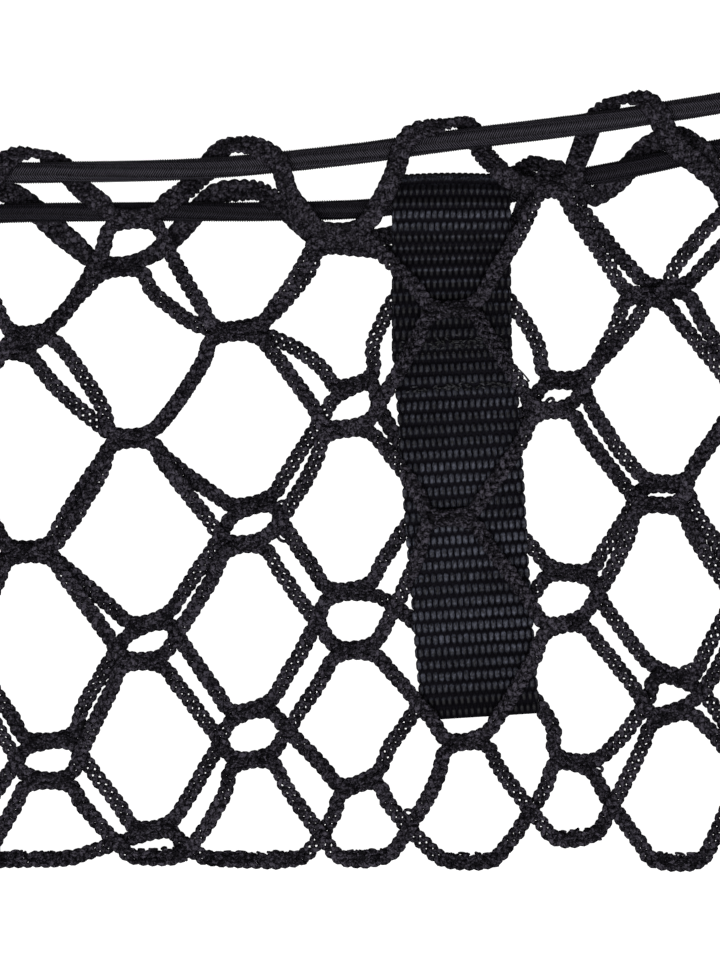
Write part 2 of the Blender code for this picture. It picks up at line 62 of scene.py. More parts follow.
TAB_THICK = 1.2
TAB_LEVEL = 3.2         # middle of the strap that lies on the back layer
TAB_GAP = 0.4           # between the tab and the cord in its fold
TURNED_GAP = 0.3        # between the strap and its turned end
TAB_FOLD_Y = 60.3       # middle of the tab's fold, which holds the back cord
TAB_FOLD_Z = 6.15


# Knitted strand, as a flat plait of yarns: distance along it between the lobes
# at one edge, width and thickness of a yarn, and how far it goes up and down.
LOBE_PITCH = 1.87
YARN_WIDTH = 1.22
YARN_THICK = 0.84
YARN_LIFT = 0.50
YARN_STEP = 0.46

# Webbing: distance between the rows of floats, number of warp yarns, how far
# they go up and down, and the thickness of a yarn.
FLOAT_ROW = 2.56
FLOAT_STEPS = 7
WARP_YARNS = 38
WARP_LIFT = 0.30
WARP_THICK = 0.52

# Cover of the elastic cords: distance between the strokes of the braid.
BRAID_PITCH = 0.49

COLUMNS = range(-1, 8)
ROWS = "abcd"

# One row a joint: its column, its row letter, its middle, its length and how
# far it is turned, then how far the two legs to its right bow upwards.
Joint = namedtuple("Joint", "column row x y length turn bow_up bow_down")

FRONT_JOINTS = (
    Joint(-1, "a",  -89.4,  52.6,  9.2,   2.6,  0.0,  0.0),
    Joint(-1, "b",  -90.0,   8.3,  9.4,   0.0,  0.0,  0.0),
    Joint(-1, "c",  -87.7, -38.2,  9.8,   3.7,  0.0,  0.0),
    Joint(-1, "d",  -82.6, -78.4,  9.6,   2.5,  0.0,  0.0),
    Joint( 0, "a",  -68.6,  30.5,  8.3,   4.3, -1.2,  1.2),
    Joint( 0, "b",  -68.8, -15.1,  8.7,   1.4, -1.0,  0.2),
    Joint( 0, "c",  -64.9, -62.2,  9.2,   0.0,  0.0, -0.6),
    Joint( 1, "a",  -47.1,  54.1,  9.0,   2.7,  0.0, -0.2),
    Joint( 1, "b",  -47.6,   8.9,  7.9,   3.0, -1.0, -0.3),
    Joint( 1, "c",  -45.3, -37.5,  8.3,   1.4, -0.4,  0.2),
    Joint( 1, "d",  -42.2, -77.8, 10.4,   2.3, -1.2,  0.0),
    Joint( 2, "a",  -25.8,  31.1,  9.2,  -1.3, -0.6,  0.5),
    Joint( 2, "b",  -23.9, -13.2,  7.9,   4.5, -1.0, -0.2),
    Joint( 2, "c",  -22.5, -58.1,  8.4,   7.1, -0.2, -0.4),
    Joint( 3, "a",   -4.2,  51.4,  9.2,   2.6,  0.0,  0.4),
    Joint( 3, "b",   -2.8,  10.9,  9.0,   6.6, -0.2,  0.8),
    Joint( 3, "c",   -1.2, -35.2,  7.9,   3.0, -0.8,  0.4),
    Joint( 3, "d",    0.6, -78.1,  9.6,   1.2, -1.2,  0.0),
    Joint( 4, "a",   19.1,  35.6,  9.2,   2.6, -0.4,  0.0),
    Joint( 4, "b",   18.7,  -7.7,  9.2,   2.6, -0.4,  0.0),
    Joint( 4, "c",   22.0, -54.2,  8.0,   7.5, -0.6, -0.6),
    Joint( 5, "a",   39.3,  60.5,  4.4,   5.4,  0.0, -0.2),
    Joint( 5, "b",   40.1,  14.7,  7.9,   4.5, -0.6, -0.4),
    Joint( 5, "c",   42.4, -29.8,  8.0,  10.4, -0.8,  0.4),
    Joint( 5, "d",   45.0, -73.8,  8.2,   8.7, -0.4,  0.0),
    Joint( 6, "a",   59.3,  38.4,  7.9,  -4.5,  1.5,  0.2),
    Joint( 6, "b",   62.4,  -5.0,  9.2,   0.0,  1.5, -0.6),
    Joint( 6, "c",   64.7, -48.4,  8.2,  16.1, -1.5,  1.0),
    Joint( 7, "a",   82.2,  58.2,  8.3,   0.0,  0.0,  0.0),
    Joint( 7, "b",   83.6,  15.6,  8.3,   0.0,  0.0,  0.0),
    Joint( 7, "c",   82.8, -25.3,  8.3,   4.3,  0.0,  0.0),
    Joint( 7, "d",   84.2, -62.2,  8.7,   2.7,  0.0,  0.0),
)

BACK_JOINTS = (
    Joint(-1, "a",  -92.0,  45.3,  9.4,   0.0,  0.0,  0.0),
    Joint(-1, "b",  -90.5,   7.3,  9.6,   0.0,  0.0,  0.0),
    Joint(-1, "c",  -87.6, -33.1,  9.6,   2.5,  0.0,  0.0),
    Joint(-1, "d",  -86.3, -74.3,  9.6,   2.5,  0.0,  0.0),
    Joint( 0, "a",  -73.2,  27.0,  9.2,   0.0,  0.0, -0.8),
    Joint( 0, "b",  -69.3, -14.2,  8.7,   1.4,  0.2,  0.0),
    Joint( 0, "c",  -64.8, -54.2,  9.8,   6.1,  0.8,  0.0),
    Joint( 0, "d",  -68.8, -78.6, 17.1,   0.0,  0.0,  0.0),
    Joint( 1, "a",  -49.9,  44.6,  8.3,   4.3,  0.0, -1.6),
    Joint( 1, "b",  -47.6,   8.9,  7.9,   3.0, -1.0, -0.6),
    Joint( 1, "c",  -43.9, -29.7,  8.2,  14.7, -0.2,  0.0),
    Joint( 1, "d",  -43.1, -72.6,  8.0,   9.0, -0.4, -0.6),
    Joint( 2, "a",  -26.0,  31.2,  9.6,   7.4, -1.3,  1.4),
    Joint( 2, "b",  -22.4,  -5.2,  8.4,  14.4,  0.0, -0.2),
    Joint( 2, "c",  -22.9, -48.0,  8.6,  14.0, -0.4,  0.0),
    Joint( 2, "d",  -22.0, -78.6, 19.1,   0.0, -1.0,  0.0),
    Joint( 3, "a",   -3.8,  49.3,  9.8,   0.0,  0.0,  0.0),
    Joint( 3, "b",   -1.2,  20.0,  7.9,  18.4,  2.8, -1.5),
    Joint( 3, "c",   -2.3, -23.0,  8.8,   6.8,  0.4,  1.4),
    Joint( 3, "d",   -0.3, -63.2,  8.1,  18.0,  1.0, -1.0),
    Joint( 4, "a",   19.1,  45.3,  9.2,   0.0,  0.0,  2.1),
    Joint( 4, "b",   20.0,  -0.6,  9.2,   2.6,  0.0,  0.0),
    Joint( 4, "c",   23.3, -39.1,  9.2,   0.0,  0.6,  2.9),
    Joint( 4, "d",   22.6, -79.0,  9.8,   0.0, -1.0,  0.0),
    Joint( 5, "a",   39.1,  62.9,  8.4,  -7.1,  0.0, -1.0),
    Joint( 5, "b",   42.4,  21.0,  7.5,  -3.2, -0.8, -0.8),
    Joint( 5, "c",   43.8, -19.1,  9.0,  -5.3,  0.0, -0.8),
    Joint( 5, "d",   44.5, -58.7,  7.7, -12.5, -1.6, -0.4),
    Joint( 6, "a",   64.5,  39.9,  7.5,   3.2,  0.0,  0.0),
    Joint( 6, "b",   63.5,  -0.6,  8.5,  -2.8, -0.4, -0.6),
    Joint( 6, "c",   65.5, -40.8,  8.1, -11.9,  0.0,  1.0),
    Joint( 6, "d",   66.2, -79.0,  9.8,   0.0, -0.6,  0.0),
    Joint( 7, "a",   83.2,  53.7,  8.3,   0.0,  0.0,  0.0),
    Joint( 7, "b",   83.2,  19.1,  8.3,   0.0,  0.0,  0.0),
    Joint( 7, "c",   83.6, -20.2,  8.3,   2.9,  0.0,  0.0),
    Joint( 7, "d",   83.6, -58.4,  8.3,   2.9,  0.0,  0.0),
)

# Joints that lie over the back cord, higher than the rest of their layer.
FRONT_LIFTS = {(-1, "a"): 6.7, (1, "a"): 4.6, (3, "a"): 4.1, (5, "a"): 7.2, (7, "a"): 2.4}
BACK_LIFTS = {(5, "a"): 6.8}

# The top strand of a layer, bend by bend: where it is, how wide, and how far
# it is rolled. It goes over a cord, round its far side and back under it, or
# the other way round. Some loops wrap round the cord on edge, and others lie
# flat beside it and only tilt where they climb over it.
Bend = namedtuple("Bend", "x y z width roll")

FRONT_TOP = (
    Bend(-94.0, 53.6, 10.4, 3.0,    0), Bend(-84.9, 54.0, 11.1, 3.2,    0),
    Bend(-79.0, 58.7, 11.7, 4.2,    0), Bend(-74.8, 64.1, 10.9, 4.6,    0),
    Bend(-72.6, 66.8,  9.9, 4.6,  -35), Bend(-69.3, 68.0,  8.3, 4.6,  -65),
    Bend(-66.2, 67.9,  6.2, 4.6,  -95), Bend(-63.6, 66.6,  3.8, 4.6, -140),
    Bend(-60.7, 64.3,  2.6, 4.6, -180), Bend(-58.3, 61.3,  3.6, 4.6, -205),
    Bend(-55.8, 59.2,  7.1, 4.5, -205), Bend(-53.6, 57.5,  8.4, 4.2, -190),
    Bend(-51.6, 55.2,  8.4, 3.2, -180), Bend(-42.6, 55.6,  8.4, 3.2, -180),
    Bend(-39.4, 57.9,  8.4, 4.2, -190), Bend(-36.6, 60.0,  7.0, 4.5, -205),
    Bend(-34.4, 62.2,  3.8, 4.6, -205), Bend(-32.0, 64.9,  2.6, 4.6, -185),
    Bend(-29.4, 68.2,  3.0, 4.6, -195), Bend(-26.6, 69.7,  5.4, 4.6, -238),
    Bend(-23.3, 69.7,  8.4, 4.6, -225), Bend(-19.6, 68.3, 10.4, 4.6, -205),
    Bend(-17.0, 66.1, 10.8, 4.2, -185), Bend(-14.4, 59.3, 11.3, 3.6, -180),
    Bend(-11.3, 55.4, 11.0, 3.6, -180), Bend( -8.7, 52.3,  9.2, 3.4, -180),
    Bend(  0.4, 52.7,  8.7, 3.6, -180), Bend(  4.0, 57.4, 10.9, 4.0, -180),
    Bend(  6.8, 62.7, 11.3, 4.0, -180), Bend(  8.7, 68.9, 11.2, 4.2, -180),
    Bend( 11.2, 72.1, 10.7, 4.6, -210), Bend( 15.8, 73.4,  9.8, 4.6, -230),
    Bend( 19.8, 74.6,  7.4, 4.6, -270), Bend( 22.5, 73.9,  4.2, 4.6, -308),
    Bend( 24.1, 71.2,  2.9, 4.6, -360), Bend( 25.7, 68.1,  4.3, 4.5, -380),
    Bend( 27.4, 65.9,  7.4, 4.4, -390), Bend( 29.0, 64.1, 10.9, 4.2, -375),
    Bend( 31.4, 62.1, 11.3, 4.0, -360), Bend( 34.7, 61.2, 10.6, 3.6, -360),
    Bend( 43.7, 62.1, 10.5, 3.6, -360), Bend( 44.8, 66.0,  9.2, 4.0, -360),
    Bend( 46.6, 70.2,  4.4, 4.3, -360), Bend( 48.3, 74.3,  2.6, 4.6, -360),
    Bend( 51.2, 77.8,  3.9, 4.6, -315), Bend( 54.4, 79.3,  6.8, 4.6, -270),
    Bend( 57.4, 79.3,  9.3, 4.6, -235), Bend( 59.6, 78.4, 10.3, 4.6, -205),
    Bend( 61.4, 76.3, 10.5, 4.6, -180), Bend( 64.1, 70.7, 10.9, 4.6, -180),
    Bend( 70.3, 64.9, 11.3, 4.4, -180), Bend( 78.0, 59.4,  7.2, 3.4, -180),
    Bend( 86.3, 59.4,  5.6, 3.0, -180),
)

BACK_TOP = (
    Bend(-96.7, 46.5,  1.1, 3.0,    0), Bend(-87.4, 46.5,  1.6, 3.2,    0),
    Bend(-85.0, 50.6,  6.6, 4.0,   15), Bend(-82.2, 55.3,  8.7, 4.4,    0),
    Bend(-79.4, 58.4,  8.0, 4.6,  -30), Bend(-76.4, 60.1,  5.5, 4.6,  -35),
    Bend(-73.2, 60.1,  2.8, 4.6,  -15), Bend(-70.2, 58.6,  1.3, 4.6,    0),
    Bend(-67.4, 56.2,  1.1, 4.6,    0), Bend(-60.3, 49.9,  1.1, 4.6,    0),
    Bend(-54.1, 45.4,  1.1, 3.4,    0), Bend(-45.8, 46.1,  1.1, 3.2,    0),
    Bend(-39.5, 50.3,  1.1, 4.2,    0), Bend(-33.3, 57.0,  1.1, 4.5,    0),
    Bend(-29.9, 59.8,  1.3, 4.6,    0), Bend(-25.0, 60.6,  2.6, 4.6,  -15),
    Bend(-21.0, 60.2,  5.8, 4.6,  -35), Bend(-18.0, 58.4,  8.0, 4.6,  -30),
    Bend(-15.0, 56.2,  8.7, 4.6,  -10), Bend(-11.9, 53.0,  7.7, 4.2,    0),
    Bend( -8.7, 50.4,  3.8, 3.4,    0), Bend(  1.0, 50.4,  1.6, 3.4,    0),
    Bend(  8.3, 51.8,  1.1, 3.6,    0), Bend( 18.7, 55.3,  1.1, 3.6,    0),
    Bend( 27.0, 59.0,  1.1, 3.8,    0), Bend( 31.9, 62.8,  1.1, 4.2,    0),
    Bend( 34.7, 65.3,  2.2, 4.4,   40), Bend( 37.0, 66.4,  4.6, 4.4,   68),
    Bend( 39.3, 65.6,  6.8, 4.2,  118), Bend( 42.2, 63.7,  7.3, 3.6,  180),
    Bend( 45.0, 61.3,  7.3, 3.6,  190), Bend( 46.9, 59.7,  5.4, 3.8,  205),
    Bend( 48.8, 59.2,  2.8, 4.0,  190), Bend( 53.0, 61.9,  1.1, 4.4,  180),
    Bend( 56.8, 66.2,  1.1, 4.6,  180), Bend( 59.8, 69.4,  1.3, 4.6,  180),
    Bend( 63.4, 71.2,  2.6, 4.6,  165), Bend( 66.6, 71.5,  5.8, 4.6,  145),
    Bend( 69.0, 70.1,  8.1, 4.6,  148), Bend( 71.2, 67.9,  8.9, 4.6,  170),
    Bend( 74.0, 62.8,  6.2, 4.4,  180), Bend( 79.0, 54.8,  1.4, 3.2,  180),
    Bend( 87.4, 54.8,  1.1, 3.0,  180),
)

# Legs that don't rise evenly: the strand and the column on their left, and the
# bends between their two joints.
BACK_LEGS = {
    (1, 4): (
        Bend(27.0, 48.4, 1.1, 3.2, 0), Bend(30.2, 51.2, 1.1, 3.2, 0),
        Bend(32.4, 53.7, 1.5, 3.2, 0), Bend(33.4, 56.0, 5.0, 3.2, 0),
        Bend(34.2, 58.2, 8.2, 3.2, 0),
    ),
}

# Elastic cords: the middle of each, from its left end to its right one. The
# ends come down to the surface in a stopper knot.
Station = namedtuple("Station", "x y z")

FRONT_CORD_ROUTE = (
    Station(-112.0, 72.0, 2.6), Station(-102.0, 69.4, 4.6), Station(-92.0, 66.0, 5.9),
    Station(-75.0, 64.1, 6.65), Station(-60.3, 64.1, 6.65), Station(-31.8, 64.9, 6.65),
    Station(0.0, 68.0, 6.75), Station(10.0, 69.4, 7.0), Station(22.9, 71.1, 7.4),
    Station(35.4, 72.6, 7.2), Station(48.3, 74.3, 6.65), Station(61.4, 76.3, 6.65),
    Station(76.0, 78.7, 6.1), Station(90.0, 81.9, 4.8), Station(100.0, 84.6, 2.6),
)
BACK_CORD_ROUTE = (
    Station(-110.0, 50.6, 2.4), Station(-102.0, 52.4, 3.9), Station(-92.0, 54.6, 4.6),
    Station(-75.0, 55.6, 4.6), Station(-45.0, 56.0, 4.6), Station(-20.0, 56.0, 4.6),
    Station(-3.0, 56.4, 4.6), Station(3.0, 56.7, 5.8), Station(7.0, 57.2, 6.05),
    Station(19.0, 58.5, 6.08), Station(31.3, 59.8, 6.0), Station(33.7, 60.6, 4.4),
    Station(36.4, 61.3, 3.5), Station(43.0, 62.7, 3.6), Station(49.5, 63.7, 4.6),
    Station(62.6, 66.4, 4.6), Station(75.0, 69.1, 4.6), Station(90.0, 69.6, 3.9),
    Station(101.0, 67.4, 2.4),
)

# Stopper knots, by the x of their middle on each cord's route.
KNOT_SIZE = (12.5, 11.0, 8.6)
KNOT_TAIL = 9.5

# The tab's strap: how far right its middle is, and its width, down its length.
Edge = namedtuple("Edge", "y x width")
STRAP_EDGES = (
    Edge(63.8, 19.1, 23.4), Edge(55.0, 18.95, 24.2), Edge(27.0, 19.1, 24.6),
    Edge(17.0, 20.3, 25.1), Edge(0.0, 21.4, 25.1), Edge(-17.0, 22.6, 24.7),
    Edge(-36.0, 24.0, 24.5), Edge(-50.0, 25.2, 24.4),
)

# The fold is slack: below the cord the turned part stands up in a bulge, so
# far above where it lies once it is flat.
Bulge = namedtuple("Bulge", "y z")
TAB_BULGE = (
    Bulge(60.6, 4.6), Bulge(57.6, 5.3), Bulge(54.5, 5.5), Bulge(51.5, 4.9),
    Bulge(48.5, 3.5), Bulge(45.5, 1.7), Bulge(42.0, 0.4), Bulge(38.0, 0.0),
)
STRAP_END_Y = -49.4     # lower end, between the layers
TURNED_END_Y = 26.6     # end of the part that is turned over the cord and sewn down




def smoothstep(value, low, high):
    t = min(1.0, max(0.0, (value - low) / (high - low)))
    return t * t * (3 - 2 * t)


def between(table, y, field):
    """A field of a table of Edge rows at this y, from the rows above and below it."""
    rows = sorted(table, key=lambda row: row.y)
    if y <= rows[0].y:
        return getattr(rows[0], field)
    for low, high in zip(rows, rows[1:]):
        if y <= high.y:
            t = (y - low.y) / (high.y - low.y)
            return getattr(low, field) * (1 - t) + getattr(high, field) * t
    return getattr(rows[-1], field)


def rise_over_tab(x, y):
    """How much higher the front layer lies where it passes over the tab."""
    middle, width = between(STRAP_EDGES, y, "x"), between(STRAP_EDGES, y, "width")
    outside = abs(x - middle) - width / 2
    across = 1 - smoothstep(outside, 2.6, 10.0)
    strap = 1.8 * smoothstep(y, -59.0, -52.0)
    turned = 1.65 * smoothstep(y, 15.0, 24.0)
    return across * (strap + turned)


def ends_of(joint):
    turn = math.radians(joint.turn)
    half = Vector((math.cos(turn), math.sin(turn), 0)) * joint.length / 2
    middle = Vector((joint.x, joint.y, 0))
    return middle - half, middle + half


def joint_of_strand(joints, strand, column):
    """The joint that a strand passes in a column, and whether it is its upper half."""
    odd = column % 2
    upper = strand % 2 != odd if odd else strand % 2 == 1
    index = strand // 2
    if strand % 2 == 0 and not odd:
        index -= 1
    return joints[(column, ROWS[index])], upper


def strand_bends(joints, strand, lifts, legs, level, over_tab, last):
    """A strand below the top one: two bends at each joint and two on each leg."""
    bends = []
    before = None
    for column in COLUMNS:
        joint, upper = joint_of_strand(joints, strand, column)
        left, right = ends_of(joint)
        offset = 0 if last and upper else HALF_JOINT * (1 if upper else -1)
        lift = lifts.get((joint.column, joint.row), 0)
        left.y += offset
        right.y += offset
        width = STRAND_WIDTH if last and upper else JOINT_WIDTH
        if before and (strand, column - 1) in legs:
            bends += [list(bend) for bend in legs[strand, column - 1]]
        elif before:
            start, bow, start_lift = before
            leg = left - start
            across = Vector((-leg.y, leg.x, 0)).normalized()
            for share in LEG_BENDS:
                p = start + leg * share + across * bow
                raised = start_lift + (lift - start_lift) * smoothstep(share, 0, 1)
                bends.append([p.x, p.y, level + raised, STRAND_WIDTH, 0])
        for p in (left, right):
            bends.append([p.x, p.y, level + lift, width, 0])
        before = right, joint.bow_up if upper else joint.bow_down, lift
    if over_tab:
        for bend in bends:
            bend[2] += rise_over_tab(bend[0], bend[1])
    return [Bend(*bend) for bend in bends]


def smooth(rows, longest):
    """Points of a centripetal curve through the rows, no further apart than longest."""
    rows = [tuple(row) for row in rows]
    first = tuple(2 * a - b for a, b in zip(rows[0], rows[1]))
    last = tuple(2 * a - b for a, b in zip(rows[-1], rows[-2]))
    rows = [first, *rows, last]

    def mix(a, b, ta, tb, t):
        return tuple(((tb - t) * u + (t - ta) * v) / (tb - ta) for u, v in zip(a, b))

    out = []
    for i in range(1, len(rows) - 2):
        p = rows[i - 1 : i + 3]
        times = [0.0]
        for a, b in zip(p, p[1:]):
            times.append(times[-1] + max(1e-6, math.dist(a[:3], b[:3])) ** 0.5)
        steps = max(1, math.ceil(math.dist(p[1][:3], p[2][:3]) / longest - 0.25))
        for k in range(steps):
            t = times[1] + (times[2] - times[1]) * k / steps
            a = mix(p[0], p[1], times[0], times[1], t)
            b = mix(p[1], p[2], times[1], times[2], t)
            c = mix(p[2], p[3], times[2], times[3], t)
            d = mix(a, b, times[0], times[2], t)
            e = mix(b, c, times[1], times[3], t)
            out.append(mix(d, e, times[1], times[2], t))
    out.append(rows[-2])
    return out




def in_row(points):
    """Table millimetres to the row frame, in metres."""
    moved = np.array(points, float)
    moved[..., 0] -= MIDDLE_X
    moved[..., 1] -= MIDDLE_Y
    return moved * MM

# ---------------------------------------------------------------- tubes

def unit(vectors):
    return vectors / np.maximum(np.linalg.norm(vectors, axis=-1, keepdims=True), 1e-9)


def along(points):
    """Direction of a line at each of its points."""
    return unit(np.gradient(points, axis=0))


def evenly(rows, step):
    """The rows again at even distances along their line; the first three fields are a point."""
    rows = np.array(rows, float)
    gone = np.concatenate([[0], np.cumsum(np.linalg.norm(np.diff(rows[:, :3], axis=0), axis=1))])
    count = max(2, int(round(gone[-1] / step)) + 1)
    at = np.linspace(0, gone[-1], count)
    return np.stack([np.interp(at, gone, rows[:, i]) for i in range(rows.shape[1])], axis=1), at


def waves(at, length, seed):
    """A smooth wander between -1 and 1 along a line."""
    rng = np.random.default_rng(seed)
    knots = rng.uniform(-1, 1, int(at[-1] / length) + 4)
    place = at / length
    low = np.floor(place).astype(int)
    t = place - low
    t = t * t * (3 - 2 * t)
    return knots[low] * (1 - t) + knots[low + 1] * t


def rounded(values, power):
    return np.sign(values) * np.abs(values) ** power


class Tubes:
    """Gathers closed tubes with the same number of sides into one mesh."""

    def __init__(self, sides):
        self.sides, self.points, self.quads, self.caps = sides, [], [], []
        self.uvs, self.tints, self.lits = [], [], []
        self.count = 0

    def add(self, centre, up, width, thick, tint=0.0, bulge=None, lit=1.0, square=1.0):
        """centre and up are arrays of points and directions, in table millimetres;
        width and thick are the section's half sizes; square below 1 flattens its sides."""
        n, k = len(centre), self.sides
        run = along(centre)
        up = unit(up - run * np.sum(up * run, axis=1, keepdims=True))
        side = np.cross(run, up)
        turn = np.arange(k) * 2 * math.pi / k
        wide = np.broadcast_to(width, n)[:, None, None]
        tall = np.broadcast_to(thick, n)[:, None, None]
        ring = (
            centre[:, None, :]
            + side[:, None, :] * (rounded(np.cos(turn), square)[None, :, None] * wide)
            + up[:, None, :] * (rounded(np.sin(turn), square)[None, :, None] * tall)
        )
        if bulge is not None:
            away = unit(ring - centre[:, None, :])
            ring = ring + away * bulge[:, :, None]
        self.points.append(ring.reshape(-1, 3))
        first = self.count
        i = np.arange(n - 1)[:, None] * k
        j = np.arange(k)[None, :]
        a = first + i + j
        b = first + i + (j + 1) % k
        self.quads.append(np.stack([a, b, b + k, a + k], axis=-1).reshape(-1, 4))
        self.caps.append(first + np.arange(k)[::-1])
        self.caps.append(first + (n - 1) * k + np.arange(k))
        gone = np.concatenate([[0], np.cumsum(np.linalg.norm(np.diff(centre, axis=0), axis=1))])
        u0 = np.broadcast_to(j / k, (n - 1, k))
        v0 = np.broadcast_to(gone[:-1, None], (n - 1, k))
        v1 = np.broadcast_to(gone[1:, None], (n - 1, k))
        uv = np.stack(
            [
                np.stack([u0, v0], -1),
                np.stack([u0 + 1 / k, v0], -1),
                np.stack([u0 + 1 / k, v1], -1),
                np.stack([u0, v1], -1),
            ],
            axis=2,
        )
        self.uvs.append(uv.reshape(-1, 2))
        self.tints.append(np.repeat(np.broadcast_to(tint, n), k))
        self.lits.append(np.broadcast_to(np.asarray(lit, float).reshape(-1, 1) if np.ndim(lit) < 2 else lit, (n, k)).ravel())
        self.count += n * k

    def make(self, name, material):
        points = in_row(np.concatenate(self.points))
        quads = np.concatenate(self.quads)
        caps = np.array(self.caps)
        mesh = bpy.data.meshes.new(name)
        mesh.vertices.add(len(points))
        mesh.vertices.foreach_set("co", points.astype(np.float32).ravel())
        corners = np.concatenate([quads.ravel(), caps.ravel()])
        mesh.loops.add(len(corners))
        mesh.loops.foreach_set("vertex_index", corners.astype(np.int32))
        sizes = np.concatenate([np.full(len(quads), 4), np.full(len(caps), self.sides)])
        mesh.polygons.add(len(sizes))
        mesh.polygons.foreach_set("loop_start", np.concatenate([[0], np.cumsum(sizes)[:-1]]).astype(np.int32))
        mesh.polygons.foreach_set("use_smooth", np.ones(len(sizes), bool))
        layer = mesh.uv_layers.new(name="yarn")
        uv = np.concatenate([np.concatenate(self.uvs), np.zeros((caps.size, 2))])
        layer.data.foreach_set("uv", uv.astype(np.float32).ravel())
        tint = mesh.attributes.new("tint", "FLOAT", "POINT")
        tint.data.foreach_set("value", np.concatenate(self.tints).astype(np.float32))
        # The lit attribute scales the base colour: it carries the painted light and shade.
        lit = mesh.attributes.new("lit", "FLOAT", "POINT")
        lit.data.foreach_set("value", np.concatenate(self.lits).astype(np.float32))
        mesh.update(calc_edges=True)
        mesh.validate()
        mesh.materials.append(material)
        made = bpy.data.objects.new(name, mesh)
        bpy.context.scene.collection.objects.link(made)
        return made


# ---------------------------------------------------------------- materials

def blank(name):
    material = bpy.data.materials.new(name)
    material.use_nodes = True
    tree = material.node_tree
    return material, tree, tree.nodes["Principled BSDF"]


def node(tree, kind, **settings):
    made = tree.nodes.new(kind)
    for key, value in settings.items():
        setattr(made, key, value)
    return made


def maths(tree, operation, a, b=None, c=None):
    made = node(tree, "ShaderNodeMath", operation=operation)
    for socket, value in zip(made.inputs, (a, b, c)):
        if value is None:
            continue
        if isinstance(value, (int, float)):
            socket.default_value = value
        else:
            tree.links.new(value, socket)
    return made.outputs[0]


def ramp(tree, value, stops):
    made = node(tree, "ShaderNodeValToRGB")
    tree.links.new(value, made.inputs[0])
    for element, (place, colour) in zip(made.color_ramp.elements, (stops[0], stops[-1])):
        element.position, element.color = place, (*colour, 1)
    for place, colour in stops[1:-1]:
        made.color_ramp.elements.new(place).color = (*colour, 1)
    return made.outputs[0]


def yarn_material(name, dark, light, plies, twist, fibre, rough, spec, flecks, bump):
    """Twisted yarn: fibres run along it on a slant, with fainter and darker ones."""
    material, tree, shader = blank(name)
    uv = node(tree, "ShaderNodeUVMap", uv_map="yarn")
    split = node(tree, "ShaderNodeSeparateXYZ")
    tree.links.new(uv.outputs[0], split.inputs[0])
    u, v = split.outputs[0], split.outputs[1]
    tint = node(tree, "ShaderNodeAttribute", attribute_name="tint")
    # Plies wind round the yarn; each ply is painted lighter on its crown and darker in the grooves between plies, a
    # painted highlight and shade.
    wound = maths(tree, "ADD", maths(tree, "MULTIPLY", u, plies), maths(tree, "MULTIPLY", v, twist))
    ply = maths(tree, "ABSOLUTE", maths(tree, "SINE", maths(tree, "MULTIPLY", wound, math.pi)))
    # Fibres in the plies, long and thin.
    join = node(tree, "ShaderNodeCombineXYZ")
    tree.links.new(maths(tree, "MULTIPLY", wound, fibre), join.inputs[0])
    tree.links.new(maths(tree, "MULTIPLY", v, 1.3), join.inputs[1])
    tree.links.new(maths(tree, "MULTIPLY", tint.outputs["Fac"], 3.0), join.inputs[2])
    streak = node(tree, "ShaderNodeTexNoise", noise_dimensions="3D")
    streak.inputs["Scale"].default_value = 1.0
    streak.inputs["Detail"].default_value = 3.0
    streak.inputs["Roughness"].default_value = 0.65
    tree.links.new(join.outputs[0], streak.inputs["Vector"])
    # Slow wear and dust over the whole piece.
    where = node(tree, "ShaderNodeTexCoord")
    wear = node(tree, "ShaderNodeTexNoise", noise_dimensions="3D")
    wear.inputs["Scale"].default_value = 420.0
    wear.inputs["Detail"].default_value = 3.0
    tree.links.new(where.outputs["Object"], wear.inputs["Vector"])
    level = maths(
        tree, "ADD",
        maths(tree, "MULTIPLY", streak.outputs["Fac"], 2.0),
        maths(tree, "ADD", maths(tree, "MULTIPLY", ply, 0.24), maths(tree, "MULTIPLY", wear.outputs["Fac"], 0.25)),
    )
    fleck = node(tree, "ShaderNodeTexNoise", noise_dimensions="3D")
    fleck.inputs["Scale"].default_value = 2300.0
    fleck.inputs["Detail"].default_value = 1.0
    tree.links.new(where.outputs["Object"], fleck.inputs["Vector"])
    level = maths(tree, "ADD", level, maths(tree, "MULTIPLY", fleck.outputs["Fac"], flecks))
    level = maths(tree, "ADD", level, maths(tree, "MULTIPLY_ADD", tint.outputs["Fac"], 0.16, -0.675 - 0.5 * flecks))
    middle = tuple(a * 0.70 + b * 0.30 for a, b in zip(dark, light))
    # Painted shade and highlight: the base colour is scaled by the lit attribute, so yarns are painted dark down in the
    # hollows where they pass under each other and lighter where the light catches them.
    lit = node(tree, "ShaderNodeAttribute", attribute_name="lit")
    level = maths(tree, "MULTIPLY", level, lit.outputs["Fac"])
    tree.links.new(ramp(tree, level, ((0.26, dark), (0.60, middle), (0.96, light))), shader.inputs["Base Color"])
    height = maths(tree, "ADD", maths(tree, "MULTIPLY", ply, 0.55), maths(tree, "MULTIPLY", streak.outputs["Fac"], 0.9))
    relief = node(tree, "ShaderNodeBump")
    relief.inputs["Strength"].default_value = bump
    relief.inputs["Distance"].default_value = 0.00012
    tree.links.new(height, relief.inputs["Height"])
    tree.links.new(relief.outputs[0], shader.inputs["Normal"])
    shader.inputs["Roughness"].default_value = rough
    shader.inputs["Specular IOR Level"].default_value = spec
    return material


